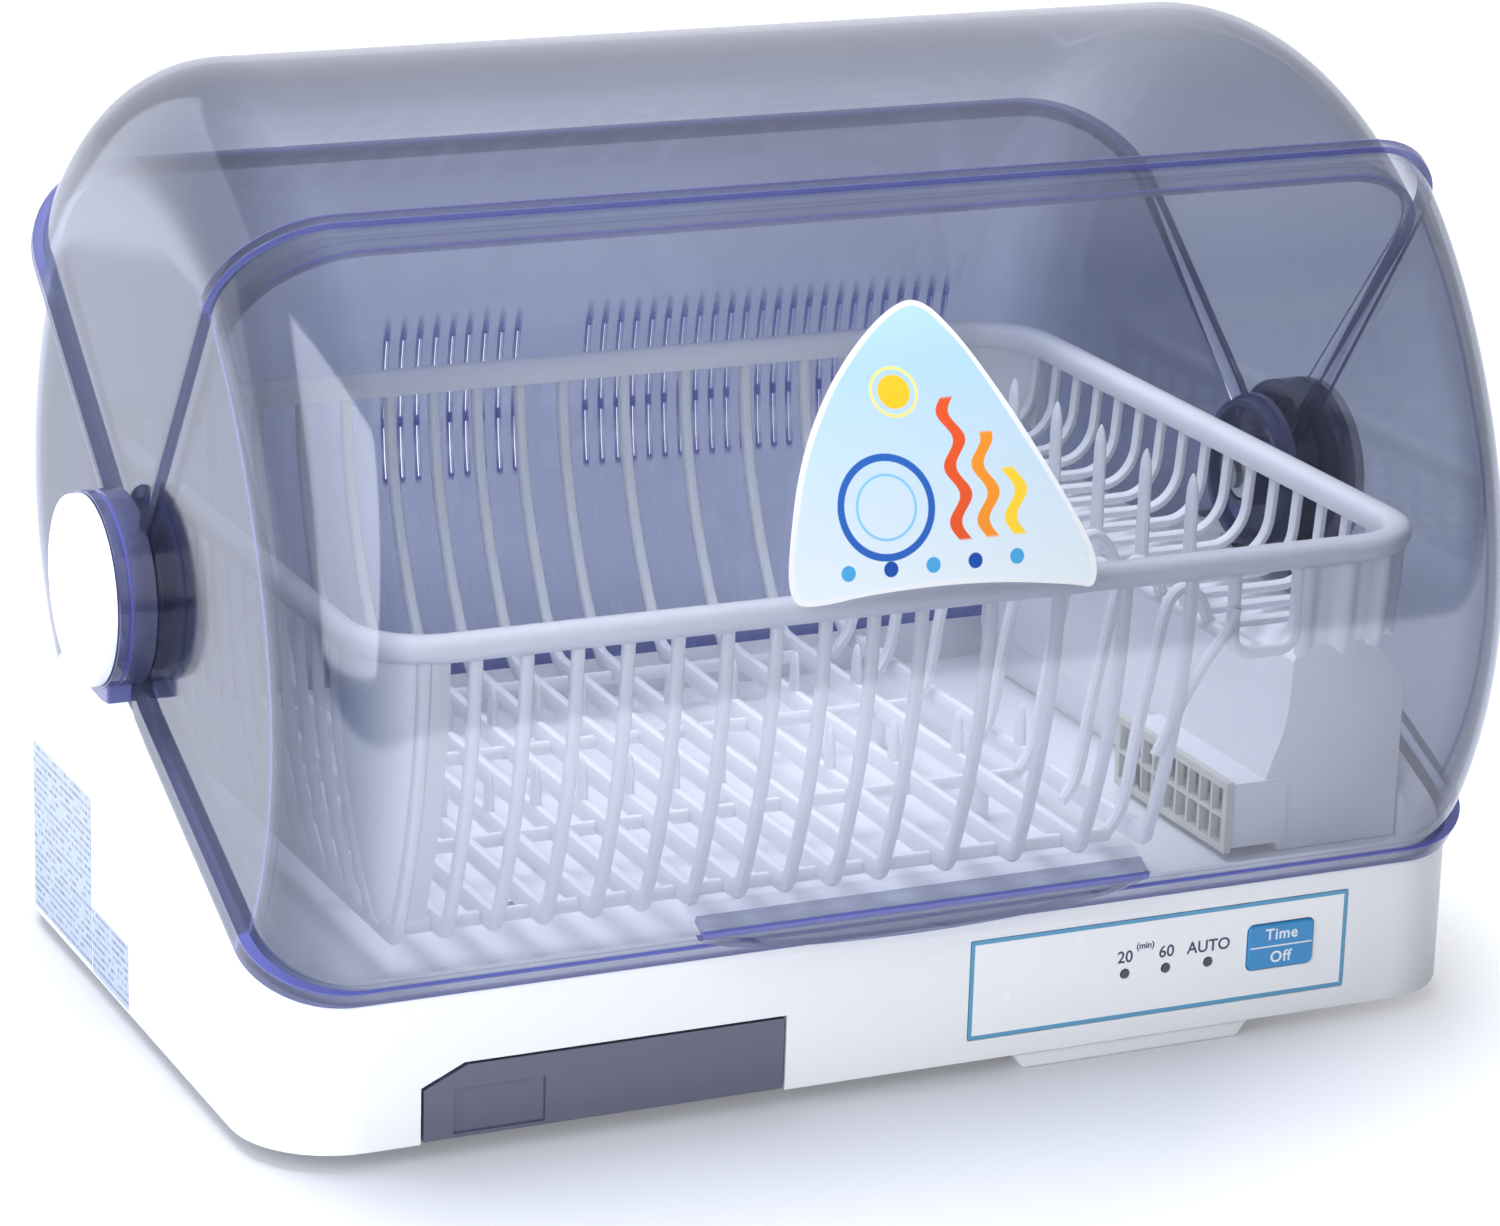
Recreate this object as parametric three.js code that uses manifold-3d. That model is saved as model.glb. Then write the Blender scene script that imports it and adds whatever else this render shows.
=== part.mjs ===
// Tabletop electric dish dryer: a white two-walled base with a warm-air blower, a lift-out dish basket,
// a clear fixed rear cover and two clear nested lid sections that swing about one axle, and a drip tray.
// Millimetres, +Z up, -Y is the front with the control panel, origin under the middle of the object.
import * as THREE from 'three';
import { mergeVertices } from 'three/addons/utils/BufferGeometryUtils.js';
import Module from 'manifold-3d';

const wasm = await Module();
wasm.setup();

// Driving dimensions

const fit = { seat: 0.3, run: 0.4, overrun: 1, reach: 600, weld: 0.0005 };

const base = {
  width: 478, front: 152.5, back: 139.8, bottom: 6.7, wall: 2.8, frontCorner: 36, backCorner: 34,
  frontTop: 61, frontSlope: 24.07, backTop: 67, backSlope: 39, peak: 136, deckTop: 58, deckWall: 2.6,
  sideShoulder: 17, endShoulder: 10, wellCorner: 22,
};

const halfBase = base.width / 2;

const axleShift = { back: 10.35, up: 30.6 };
const axle = { y: (base.back - base.front) / 2 + axleShift.back, z: base.peak + axleShift.up };

const lidWall = 2.4;
const lidFit = { sideGap: 3, sideStep: 4.4, roundStep: 3.8, tuck: 0.1 };
const shellSize = (order, corner, cornerSwell) => ({
  halfWidth: halfBase - lidFit.sideGap - order * lidFit.sideStep,
  radius: Math.hypot(axle.y + base.front, axle.z - base.frontTop) - lidFit.tuck - order * lidFit.roundStep,
  corner, cornerSwell,
});
const swellShape = { at: 28, span: 30 };
const lidCorners = { front: 33, frontSwell: 9, upper: 43, rear: 48 };
const shells = {
  front: shellSize(0, lidCorners.front, lidCorners.frontSwell), upper: shellSize(1, lidCorners.upper, 0),
  rear: shellSize(2, lidCorners.rear, 0),
};
const sector = {
  frontLow: -66, frontCorner: -38, frontTop: 55.4, bandTop: -27, upperFrom: 51.8, upperTo: 141,
  rearFrom: 137, ventTop: 168, ventBar: 179, ventFoot: 187, rearTo: 219, step: 8,
};
const rearLean = { from: 172, drop: 14.6, at: 216.5 };
const bead = { width: 4.5, height: 2.2, innerHeight: 1.1, catchHeight: 3.8, inset: 0.3 };
const flange = { height: 8.4, overhang: 0.9 };
const handle = { halfLength: 87, at: -27.2, reach: 8, thick: 2.6, skirt: 16, tuckShare: 0.35, endShare: 0.98 };
const ventSize = { width: 3, pitch: 7, leftFrom: -72, leftCount: 9, rightFrom: 15, endGap: 37.2, down: 20.6, up: 34.4 };
const vent = {
  ...ventSize, low: axle.z - ventSize.down, high: axle.z + ventSize.up,
  rightCount: Math.floor((shells.rear.halfWidth - ventSize.endGap - ventSize.rightFrom) / ventSize.pitch + fit.weld),
};

const hub = {
  ring: 35.5, ringWall: 4, proud: 11, sleeve: 13.5, bore: 10.4, disc: 33, plateStep: 0.3,
  bossDisc: 31, bossIn: 10.2, bossRing: 29, bossRingWall: 3, bossRingIn: 7.7,
};
const hubFace = halfBase + hub.proud;
const bossEnd = shells.rear.halfWidth - hub.bossIn;
const bossRingEnd = shells.rear.halfWidth - hub.bossRingIn;
const cap = { radius: 34.5, rim: 4, dome: 3.2, skin: 2.6, stem: 10, stemGap: 1.5, screwBore: 2.1 };
const stopBlock = { down: 38.7, back: 9.5, mid: -6, front: -13, frontDown: 29.6 };
const washer = { inner: 10.6, outer: 17, thick: 0.8 };
const pivotScrew = { head: 6, headThick: 3, shank: 1.7, length: 18 };

const basketSize = {
  sideGap: 35.4, frontGap: 29.7, backGap: 15.6, corner: 28, rimUp: 18.8, rimHalfWidth: 5.2, rimHalfHeight: 5,
  floorUp: 17, frontInset: 24, backInset: 46, sideInset: 16, bar: 4.6, blade: 9, crossBar: 3.6, footRadius: 7,
  ribEnd: 19, lastRibIn: 4.2, ribCount: 11, widePitch: 26.8, wideCount: 4,
  frontLoopIn: 35, backLoopIn: 25.5, loopCount: 16,
  wallFootIn: 100.6, wallTopIn: 84.6, crestDown: 18.4, shelfDown: 35.4, shelfFromIn: 65.6, shelfToIn: 17.6,
  sheet: 2.2, prongHeight: 20, prongWidth: 8, prongThick: 3, shelfProng: 36, shelfProngWidth: 9,
  windowIn: 50.6, postIn: 82.6, footWidth: 8,
};
const basketHalf = halfBase - basketSize.sideGap;
const basketFront = shells.front.radius - axle.y - basketSize.frontGap;
const basketBack = shells.rear.radius + axle.y - basketSize.backGap;
const basketRim = axle.z + basketSize.rimUp;
const basket = {
  ...basketSize, halfWidth: basketHalf, front: basketFront, back: basketBack, rimZ: basketRim,
  floor: base.deckTop + basketSize.floorUp, firstRib: basketSize.ribEnd - basketHalf,
  ribPitch: (2 * basketHalf - basketSize.wallFootIn + basketSize.lastRibIn - basketSize.ribEnd
    - basketSize.wideCount * basketSize.widePitch) / (basketSize.ribCount - 1),
  firstLoop: basketSize.frontLoopIn - basketFront,
  loopPitch: (basketFront + basketBack - basketSize.frontLoopIn - basketSize.backLoopIn) / (basketSize.loopCount - 1),
  wallFoot: basketHalf - basketSize.wallFootIn, wallTop: basketHalf - basketSize.wallTopIn,
  crest: basketRim - basketSize.crestDown, shelf: basketRim - basketSize.shelfDown,
  shelfFrom: basketHalf - basketSize.shelfFromIn, shelfTo: basketHalf - basketSize.shelfToIn,
  windowTo: basketHalf - basketSize.windowIn, postFrom: basketHalf - basketSize.postIn,
};

const traySize = {
  sideShare: 0.1192, widthShare: 0.2837, up: 0.8, height: 26.5, plate: 2.6, bodyInset: 6, bodyDepth: 172, wall: 1.8,
  bodyDown: 4, cutAcross: 16, cutDown: 7.5, gripLeft: 11, gripRight: 45, gripDown: 7, gripUp: 1.4,
  gripDepth: 1.1, slotGap: 1,
};
const tray = {
  ...traySize, left: traySize.sideShare * base.width - halfBase,
  right: (traySize.sideShare + traySize.widthShare) * base.width - halfBase,
  bottom: base.bottom + traySize.up, top: base.bottom + traySize.up + traySize.height,
};
const cover = { thick: 2.2, gap: 0.4, railHeight: 17, railWall: 2, slotWidth: 4, slotLength: 34, slotPitch: 9, slotCount: 6 };
const foot = { radius: 9, inset: 48, taper: 1.2 };

const panelSize = { sideShare: 0.1184, widthShare: 0.326, up: 8.2, height: 37.9, thick: 0.6, recess: 0.8, corner: 0.8 };
const panelWidth = panelSize.widthShare * base.width;
const panelRight = halfBase - panelSize.sideShare * base.width;
const panel = {
  ...panelSize, width: panelWidth, left: panelRight - panelWidth, right: panelRight,
  bottom: base.bottom + panelSize.up, top: base.bottom + panelSize.up + panelSize.height,
};
const lamps = { radius: 1.7, proud: 0.2, up: 17.2, firstShare: 0.4056, secondShare: 0.5141, thirdShare: 0.6271 };
const lampZ = panel.bottom + lamps.up;
const lampPlaces = {
  lamp_20: panel.left + lamps.firstShare * panel.width, lamp_60: panel.left + lamps.secondShare * panel.width,
  lamp_auto: panel.left + lamps.thirdShare * panel.width,
};
const buttonSize = { sideShare: 0.0911, widthShare: 0.1765, up: 11.3, height: 17.4, corner: 2.4, proud: 0.9, skin: 5, stem: 3.5, travel: 1 };
const button = {
  ...buttonSize, left: panel.right - (buttonSize.sideShare + buttonSize.widthShare) * panel.width,
  right: panel.right - buttonSize.sideShare * panel.width,
  bottom: panel.bottom + buttonSize.up, top: panel.bottom + buttonSize.up + buttonSize.height,
};
const boardSize = { leftIn: 7.4, rightIn: 6.4, lowIn: 3.1, topIn: 2.8, thick: 1.6, behind: 12, post: 3, postInset: 5 };
const board = {
  ...boardSize, left: panel.left + boardSize.leftIn, right: panel.right - boardSize.rightIn,
  bottom: panel.bottom + boardSize.lowIn, top: panel.top - boardSize.topIn,
};
const keySwitch = { size: 6, body: 3.4, plunger: 1.75, plungerLength: 1.2 };
const railSize = { leftIn: 19.4, rightIn: 38.1, frontIn: 1.5, depth: 9, bevel: 5 };
const rail = {
  ...railSize, left: panel.left + railSize.leftIn, right: panel.right - railSize.rightIn, front: base.front - railSize.frontIn,
};

const humpSize = {
  sideGap: 1, width: 50.4, waistOut: 7.6, shoulderIn: 0.4, topIn: 2, waistUp: 24, shoulderUp: 50, height: 83,
  crownIn: 17.4, rightUp: 62, frontGap: 22.5, backGap: 19.8, wall: 2.2, edge: 9,
};
const humpRight = halfBase - base.sideShoulder - humpSize.sideGap;
const humpFoot = humpRight - humpSize.width;
const hump = {
  ...humpSize, right: humpRight, foot: humpFoot, waist: humpFoot - humpSize.waistOut,
  shoulder: humpFoot + humpSize.shoulderIn, top: humpFoot + humpSize.topIn, crownTo: humpRight - humpSize.crownIn,
  waistZ: base.deckTop + humpSize.waistUp, shoulderZ: base.deckTop + humpSize.shoulderUp,
  topZ: base.deckTop + humpSize.height, rightZ: base.deckTop + humpSize.rightUp,
  front: base.endShoulder + humpSize.frontGap - base.front, back: base.back - base.endShoulder - humpSize.backGap,
};
const outletSize = { reach: 24.6, frontOut: 1, length: 82, up: 4, height: 25, wall: 1.8, columns: 9, rows: 2, bars: 1.6, depth: 3.2, lip: 1.4 };
const outlet = {
  ...outletSize, face: hump.foot - outletSize.reach, front: hump.front - outletSize.frontOut,
  back: hump.front - outletSize.frontOut + outletSize.length, bottom: base.deckTop + outletSize.up,
  top: base.deckTop + outletSize.up + outletSize.height,
};

const fanSize = {
  backIn: 48, wheelUp: 10.3, wheelHeight: 20, blades: 9, bladeThick: 1.4, bladeLength: 12, plate: 1.6,
  hub: 6, housingGap: 5, housingWall: 1.8, sideGap: 2.6, inletIn: 9, shaft: 2, motorGap: 4, motorUp: 7, motorHeight: 32,
  motorCapIn: 7, motorCapHeight: 3, mountThick: 2, mountEnd: 10, mountDepth: 12, duct: 12, bladeLean: 30,
};
const humpMiddle = (hump.foot + hump.right) / 2;
const humpRoom = hump.width / 2 - hump.wall;
const wheelRadius = halfBase - base.wall - fanSize.sideGap - fanSize.housingWall - fanSize.housingGap - humpMiddle;
const wheelBottom = base.bottom + fanSize.wheelUp;
const wheelTop = wheelBottom + fanSize.wheelHeight;
const fan = {
  ...fanSize, x: humpMiddle, y: hump.back - fanSize.backIn, wheel: wheelRadius, wheelBottom, wheelTop,
  bladeInner: wheelRadius - fanSize.bladeLength, inlet: wheelRadius - fanSize.inletIn,
  motor: humpRoom - fanSize.motorGap, motorCap: humpRoom - fanSize.motorGap - fanSize.motorCapIn,
  motorBottom: wheelTop + fanSize.motorUp, motorTop: wheelTop + fanSize.motorUp + fanSize.motorHeight,
  mountWidth: 2 * (humpRoom - fanSize.motorGap + fanSize.mountEnd),
};
const heaterSize = { wallGap: 4, ahead: 78, length: 50, up: 13.3, down: 6, board: 1.4, turns: 7, wire: 1.3, frame: 3 };
const heater = {
  ...heaterSize, left: fan.x - humpRoom + heaterSize.wallGap, right: fan.x + humpRoom - heaterSize.wallGap,
  front: fan.y - heaterSize.ahead - heaterSize.length, back: fan.y - heaterSize.ahead,
  bottom: base.bottom + heaterSize.up, top: base.deckTop - heaterSize.down,
};
const thermostat = { radius: 7, thick: 6, ahead: 66, up: 27.3, tab: 16, tabWidth: 4 };
const terminalSize = { besideHeater: 49, width: 36, ahead: 76, depth: 16, height: 12, poleWidth: 6, poleDepth: 5 };
const terminal = {
  ...terminalSize, left: heater.left - terminalSize.besideHeater - terminalSize.width,
  right: heater.left - terminalSize.besideHeater, front: fan.y - terminalSize.ahead - terminalSize.depth,
  back: fan.y - terminalSize.ahead,
};
const grommetSize = { sideIn: 61, up: 23.3, radius: 7.5, bore: 3.4, flange: 10, flangeThick: 2.4, inside: 6 };
const grommet = { ...grommetSize, x: halfBase - grommetSize.sideIn, z: base.bottom + grommetSize.up };
const screwSize = { head: 4.2, headThick: 1.6, shank: 1.7, length: 7, insetX: 30, insetY: 26, boss: 4.5 };

const sides = { wide: 28, round: 18, small: 10, tiny: 8, corner: 3, bodyCorner: 5, humpSide: 10, humpCrown: 7, lidCorner: 4 };

// Solids from three.js geometry, with their joins and cuts

function solid(geometry) {
  const bare = new THREE.BufferGeometry();
  bare.setAttribute('position', geometry.getAttribute('position').clone());
  if (geometry.index) bare.setIndex(geometry.index.clone());
  const merged = mergeVertices(bare, fit.weld);
  const points = merged.getAttribute('position').array;
  const triangles = keepSolid(merged.index.array);
  if (signedVolume(points, triangles) < 0) {
    for (let i = 0; i < triangles.length; i += 3) [triangles[i], triangles[i + 1]] = [triangles[i + 1], triangles[i]];
  }
  return new wasm.Manifold(new wasm.Mesh({
    numProp: 3, vertProperties: new Float32Array(points), triVerts: new Uint32Array(triangles),
  }));
}

// Leaves out triangles whose corners were welded to one point
function keepSolid(index) {
  const kept = [];
  for (let i = 0; i < index.length; i += 3) {
    const [a, b, c] = [index[i], index[i + 1], index[i + 2]];
    if (a !== b && b !== c && c !== a) kept.push(a, b, c);
  }
  return kept;
}

function signedVolume(points, triangles) {
  const [a, b, c] = [new THREE.Vector3(), new THREE.Vector3(), new THREE.Vector3()];
  let sum = 0;
  for (let i = 0; i < triangles.length; i += 3) {
    a.fromArray(points, 3 * triangles[i]);
    b.fromArray(points, 3 * triangles[i + 1]);
    c.fromArray(points, 3 * triangles[i + 2]);
    sum += a.dot(b.cross(c)) / 6;
  }
  return sum;
}

function join(...solids) {
  return solids.reduce((whole, next) => whole.add(next));
}

function cut(body, ...tools) {
  return tools.reduce((whole, tool) => whole.subtract(tool), body);
}

function block(x0, x1, y0, y1, z0, z1) {
  const geometry = new THREE.BoxGeometry(x1 - x0, y1 - y0, z1 - z0);
  geometry.translate((x0 + x1) / 2, (y0 + y1) / 2, (z0 + z1) / 2);
  return solid(geometry);
}

function rodX(radius, x0, x1, y, z, count = sides.round) {
  const geometry = new THREE.CylinderGeometry(radius, radius, Math.abs(x1 - x0), count);
  geometry.rotateZ(Math.PI / 2).translate((x0 + x1) / 2, y, z);
  return solid(geometry);
}

function rodY(radius, y0, y1, x, z, count = sides.round) {
  const geometry = new THREE.CylinderGeometry(radius, radius, y1 - y0, count);
  geometry.translate(x, (y0 + y1) / 2, z);
  return solid(geometry);
}

function rodZ(radius, z0, z1, x, y, count = sides.round, topRadius = radius) {
  const geometry = new THREE.CylinderGeometry(topRadius, radius, z1 - z0, count);
  geometry.rotateX(Math.PI / 2).translate(x, y, (z0 + z1) / 2);
  return solid(geometry);
}

// An outline in X and Y raised from z0 to z1
function raised(shape, z0, z1, curveSegments = sides.corner) {
  const geometry = new THREE.ExtrudeGeometry(shape, { depth: z1 - z0, bevelEnabled: false, curveSegments });
  geometry.translate(0, 0, z0);
  return solid(geometry);
}

// An outline in Y and Z carried from x0 to x1
function acrossX(shape, x0, x1) {
  const geometry = new THREE.ExtrudeGeometry(shape, { depth: x1 - x0, bevelEnabled: false, curveSegments: sides.corner });
  const turn = new THREE.Matrix4().makeBasis(
    new THREE.Vector3(0, 1, 0), new THREE.Vector3(0, 0, 1), new THREE.Vector3(1, 0, 0));
  geometry.applyMatrix4(turn).translate(x0, 0, 0);
  return solid(geometry);
}

// An outline in X and Z carried from y0 to y1
function acrossY(shape, y0, y1) {
  const geometry = new THREE.ExtrudeGeometry(shape, { depth: y1 - y0, bevelEnabled: false, curveSegments: sides.corner });
  geometry.rotateX(Math.PI / 2).translate(0, y1, 0);
  return solid(geometry);
}

function outline(points) {
  return new THREE.Shape(points.map(([u, v]) => new THREE.Vector2(u, v)));
}

// A rectangle whose low and high sides have their own corner radii
function roundedBox(x0, x1, y0, y1, lowRadius, highRadius = lowRadius) {
  const shape = new THREE.Shape();
  shape.moveTo(x0 + lowRadius, y0);
  shape.lineTo(x1 - lowRadius, y0);
  shape.absarc(x1 - lowRadius, y0 + lowRadius, lowRadius, -Math.PI / 2, 0);
  shape.lineTo(x1, y1 - highRadius);
  shape.absarc(x1 - highRadius, y1 - highRadius, highRadius, 0, Math.PI / 2);
  shape.lineTo(x0 + highRadius, y1);
  shape.absarc(x0 + highRadius, y1 - highRadius, highRadius, Math.PI / 2, Math.PI);
  shape.lineTo(x0, y0 + lowRadius);
  shape.absarc(x0 + lowRadius, y0 + lowRadius, lowRadius, Math.PI, 1.5 * Math.PI);
  return shape;
}

// A closed body from two grids of points of the same size, one for each face of a bent sheet
function sheetBody(outer, inner) {
  const rows = outer.length;
  const columns = outer[0].length;
  const points = [...outer.flat(), ...inner.flat()];
  const at = (side, i, j) => side * rows * columns + i * columns + j;
  const index = [];
  const quad = (a, b, c, d) => index.push(a, b, c, a, c, d);
  for (let i = 0; i + 1 < rows; i += 1) {
    for (let j = 0; j + 1 < columns; j += 1) {
      quad(at(0, i, j), at(0, i + 1, j), at(0, i + 1, j + 1), at(0, i, j + 1));
      quad(at(1, i, j), at(1, i, j + 1), at(1, i + 1, j + 1), at(1, i + 1, j));
    }
    quad(at(0, i, 0), at(1, i, 0), at(1, i + 1, 0), at(0, i + 1, 0));
    quad(at(0, i + 1, columns - 1), at(1, i + 1, columns - 1), at(1, i, columns - 1), at(0, i, columns - 1));
  }
  for (let j = 0; j + 1 < columns; j += 1) {
    quad(at(0, 0, j + 1), at(1, 0, j + 1), at(1, 0, j), at(0, 0, j));
    quad(at(0, rows - 1, j), at(1, rows - 1, j), at(1, rows - 1, j + 1), at(0, rows - 1, j + 1));
  }
  const geometry = new THREE.BufferGeometry().setFromPoints(points);
  geometry.setIndex(index);
  return solid(geometry);
}

// Unit corners of a bar's section
const squareShares = [[1, 1], [-1, 1], [-1, -1], [1, -1]];
const rimShares = [[1, 0.45], [0.4, 1], [-0.5, 1], [-1, 0.6], [-1, -0.6], [-0.5, -1], [0.4, -1], [1, -0.45]];

// A bar along points that lie in one plane, whose normal is given. Its section is a list of unit corners,
// and the thickness in the plane may differ from point to point.
function bar(path, normal, halfAcross, halfThick, section = squareShares, closed = false) {
  const count = section.length;
  const last = path.length - 1;
  const rings = path.map((point, i) => {
    const before = path[closed ? (i + last) % path.length : Math.max(i - 1, 0)];
    const after = path[closed ? (i + 1) % path.length : Math.min(i + 1, last)];
    const inward = point.clone().sub(before);
    const onward = after.clone().sub(point);
    const along = inward.normalize().add(onward.normalize());
    const stretch = inward.lengthSq() && onward.lengthSq() ? 2 / along.length() : 1;
    const side = normal.clone().cross(along.normalize());
    const thick = Array.isArray(halfThick) ? halfThick[i] : halfThick;
    return section.map(([across, away]) => point.clone()
      .addScaledVector(normal, halfAcross * across)
      .addScaledVector(side, thick * away * stretch));
  });
  const index = [];
  const steps = closed ? rings.length : rings.length - 1;
  for (let i = 0; i < steps; i += 1) {
    const [a, b] = [i * count, ((i + 1) % rings.length) * count];
    for (let k = 0; k < count; k += 1) {
      const next = (k + 1) % count;
      index.push(a + k, b + k, b + next, a + k, b + next, a + next);
    }
  }
  if (!closed) {
    const end = last * count;
    for (let k = 1; k + 1 < count; k += 1) index.push(0, k, k + 1, end, end + k + 1, end + k);
  }
  const geometry = new THREE.BufferGeometry().setFromPoints(rings.flat());
  geometry.setIndex(index);
  return solid(geometry);
}

const group = new THREE.Group();

function finish(color, roughness, metalness = 0, opacity = 1) {
  return new THREE.MeshStandardMaterial({ color, roughness, metalness, opacity, transparent: opacity < 1 });
}

function place(name, body, material) {
  const mesh = body.getMesh();
  const geometry = new THREE.BufferGeometry();
  geometry.setAttribute('position', new THREE.BufferAttribute(new Float32Array(mesh.vertProperties), mesh.numProp));
  geometry.setIndex(new THREE.BufferAttribute(new Uint32Array(mesh.triVerts), 1));
  geometry.computeVertexNormals();
  const node = new THREE.Mesh(geometry, material);
  node.name = name;
  group.add(node);
}

// Planes that the base's top edge and the lids' lower edges share

function underPlane(y, z, degrees, lift) {
  const geometry = new THREE.BoxGeometry(2 * fit.reach, 2 * fit.reach, fit.reach);
  geometry.translate(0, 0, lift - fit.reach / 2);
  geometry.rotateX(THREE.MathUtils.degToRad(degrees)).translate(0, y, z);
  return solid(geometry);
}

function underFrontPlane(lift) {
  return underPlane(-base.front, base.frontTop, base.frontSlope, lift);
}

function underBackPlane(lift) {
  return underPlane(base.back, base.backTop, -base.backSlope, lift);
}

const underside = base.bottom;
const coverTop = underside + cover.thick;
const boardFront = -base.front + board.behind;

// Base shell: outer walls, side shoulders that rise to the hubs, and the deck under the basket

function baseOutline(inset) {
  const half = halfBase - inset;
  return roundedBox(-half, half, inset - base.front, base.back - inset, base.frontCorner - inset, base.backCorner - inset);
}

function wellOutline(outset) {
  const half = halfBase - base.sideShoulder + outset;
  return roundedBox(-half, half, base.endShoulder - base.front - outset, base.back - base.endShoulder + outset,
    base.wellCorner + outset);
}

function baseMass(inset, lift) {
  return raised(baseOutline(inset), base.bottom - (inset ? fit.overrun : 0), base.peak + lift, sides.bodyCorner)
    .intersect(underFrontPlane(lift))
    .intersect(underBackPlane(lift));
}

function baseShell() {
  const well = raised(wellOutline(0), base.deckTop, fit.reach, sides.bodyCorner);
  const wellSkin = raised(wellOutline(base.deckWall), base.deckTop - base.deckWall, fit.reach, sides.bodyCorner);
  const hubRoom = rodX(hub.ring + fit.run * 2, -fit.reach, fit.reach, axle.y, axle.z, sides.wide);
  const hollow = cut(baseMass(base.wall, -base.wall), wellSkin);
  const shell = cut(baseMass(0, 0), well, hubRoom, hollow);
  const drain = rodZ(basket.footRadius, base.deckTop - base.deckWall - fit.overrun, base.deckTop + fit.overrun,
    (tray.left + tray.right) / 2, -base.front / 2, sides.small);
  return cut(join(shell, ...coverBosses(), ...boardPosts()), airHole(), drain, trayMouth(), panelRecess(), ...lampHoles(),
    buttonHole(), grommetHole());
}

// The hole in the deck under the blower cover
function airHole() {
  const margin = hump.wall + fit.overrun;
  return block(hump.foot + margin, hump.right - margin, hump.front + margin, fan.y + fan.motor + fan.housingGap,
    base.deckTop - base.deckWall - fit.overrun, base.deckTop + fit.overrun);
}

function coverBosses() {
  return screwPlaces().map(([x, y]) => cut(
    rodZ(screwSize.boss, coverTop + fit.seat, base.deckTop - base.deckWall / 2, x, y, sides.tiny),
    rodZ(screwSize.shank + fit.seat, coverTop, underside + screwSize.length + fit.overrun, x, y, sides.tiny)));
}

function boardPosts() {
  const inset = board.postInset;
  return [board.left + inset, board.right - inset].flatMap((x) => [board.bottom + inset, board.top - inset]
    .map((z) => rodY(board.post, -base.front + base.wall / 2, boardFront - fit.seat, x, z, sides.tiny)));
}

// The tray front's outline, with its cut corner, grown by a gap
function trayOutline(gap, bottom) {
  const [left, right, top] = [tray.left - gap, tray.right + gap, tray.top + gap];
  return outline([[left, bottom], [right, bottom], [right, top], [left + tray.cutAcross, top], [left, top - tray.cutDown]]);
}

function trayMouth() {
  return acrossY(trayOutline(tray.slotGap, base.bottom - fit.overrun), -base.front - fit.overrun,
    -base.front + base.wall + fit.overrun);
}

function panelRecess() {
  return block(panel.left - fit.seat, panel.right + fit.seat, -base.front - fit.overrun, -base.front + panel.recess,
    panel.bottom - fit.seat, panel.top + fit.seat);
}

function lampHoles() {
  return Object.values(lampPlaces).map((x) => rodY(lamps.radius + fit.run, -base.front - fit.overrun,
    -base.front + base.wall + fit.overrun, x, lampZ, sides.tiny));
}

function buttonOutline(outset) {
  return roundedBox(button.left - outset, button.right + outset, button.bottom - outset, button.top + outset,
    button.corner + outset);
}

function buttonHole() {
  return acrossY(buttonOutline(fit.run), -base.front - fit.overrun, -base.front + base.wall + fit.overrun);
}

function grommetHole() {
  return rodY(grommet.radius + fit.run, base.back - base.wall - fit.overrun, base.back + fit.overrun, grommet.x, grommet.z, sides.small);
}

// Bottom cover with its air slots, the tray's side rails, the front foot rail and the feet

const trayBodyLeft = tray.left + tray.bodyInset;
const trayBodyRight = tray.right - tray.bodyInset;

function bottomCover() {
  const plate = raised(baseOutline(base.wall + cover.gap), underside, coverTop, sides.bodyCorner);
  const slots = Array.from({ length: cover.slotCount }, (_, i) => {
    const x = fan.x + (i - (cover.slotCount - 1) / 2) * cover.slotPitch;
    return block(x - cover.slotWidth / 2, x + cover.slotWidth / 2, fan.y - cover.slotLength / 2,
      fan.y + cover.slotLength / 2, underside - fit.overrun, coverTop + fit.overrun);
  });
  const back = -base.front + tray.bodyDepth + tray.bodyInset;
  const rails = [trayBodyLeft - fit.run - cover.railWall, trayBodyRight + fit.run].map((x) => block(
    x, x + cover.railWall, -base.front + base.wall * 2 + cover.gap, back, underside + fit.seat, coverTop + cover.railHeight));
  const mouth = block(tray.left - tray.slotGap, tray.right + tray.slotGap, -base.front - fit.overrun,
    -base.front + base.wall + tray.plate, underside - fit.overrun, coverTop + fit.overrun);
  const screws = screwPlaces().map(([x, y]) => rodZ(screwSize.shank + fit.run, underside - fit.overrun, coverTop + fit.overrun,
    x, y, sides.tiny));
  return cut(join(plate, ...rails), ...slots, mouth, ...screws);
}

function footPlaces() {
  const x = halfBase - foot.inset;
  return {
    foot_front_left: [-x, foot.inset - base.front], foot_front_right: [x, foot.inset - base.front],
    foot_rear_left: [-x, base.back - foot.inset], foot_rear_right: [x, base.back - foot.inset],
  };
}

function screwPlaces() {
  const x = halfBase - screwSize.insetX;
  return [[-x, screwSize.insetY - base.front], [x, screwSize.insetY - base.front],
    [-x, base.back - screwSize.insetY], [x, base.back - screwSize.insetY]];
}

function screwBody(x, y) {
  const headTop = underside - fit.seat;
  const head = rodZ(screwSize.head, headTop - screwSize.headThick, headTop, x, y, sides.tiny);
  const shank = rodZ(screwSize.shank, headTop - screwSize.headThick / 2, underside + screwSize.length, x, y, sides.tiny);
  return join(head, shank);
}

function footRail() {
  const top = underside - fit.seat;
  const shape = outline([[rail.left, top], [rail.left + rail.bevel, 0], [rail.right - rail.bevel, 0], [rail.right, top]]);
  return acrossY(shape, -rail.front, rail.depth - rail.front);
}

// Nested lid shells: drums about the axle with rounded ends, cut to sectors

function around(degrees, radius, x) {
  const angle = THREE.MathUtils.degToRad(degrees);
  return new THREE.Vector3(x, axle.y - radius * Math.cos(angle), axle.z + radius * Math.sin(angle));
}

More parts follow.
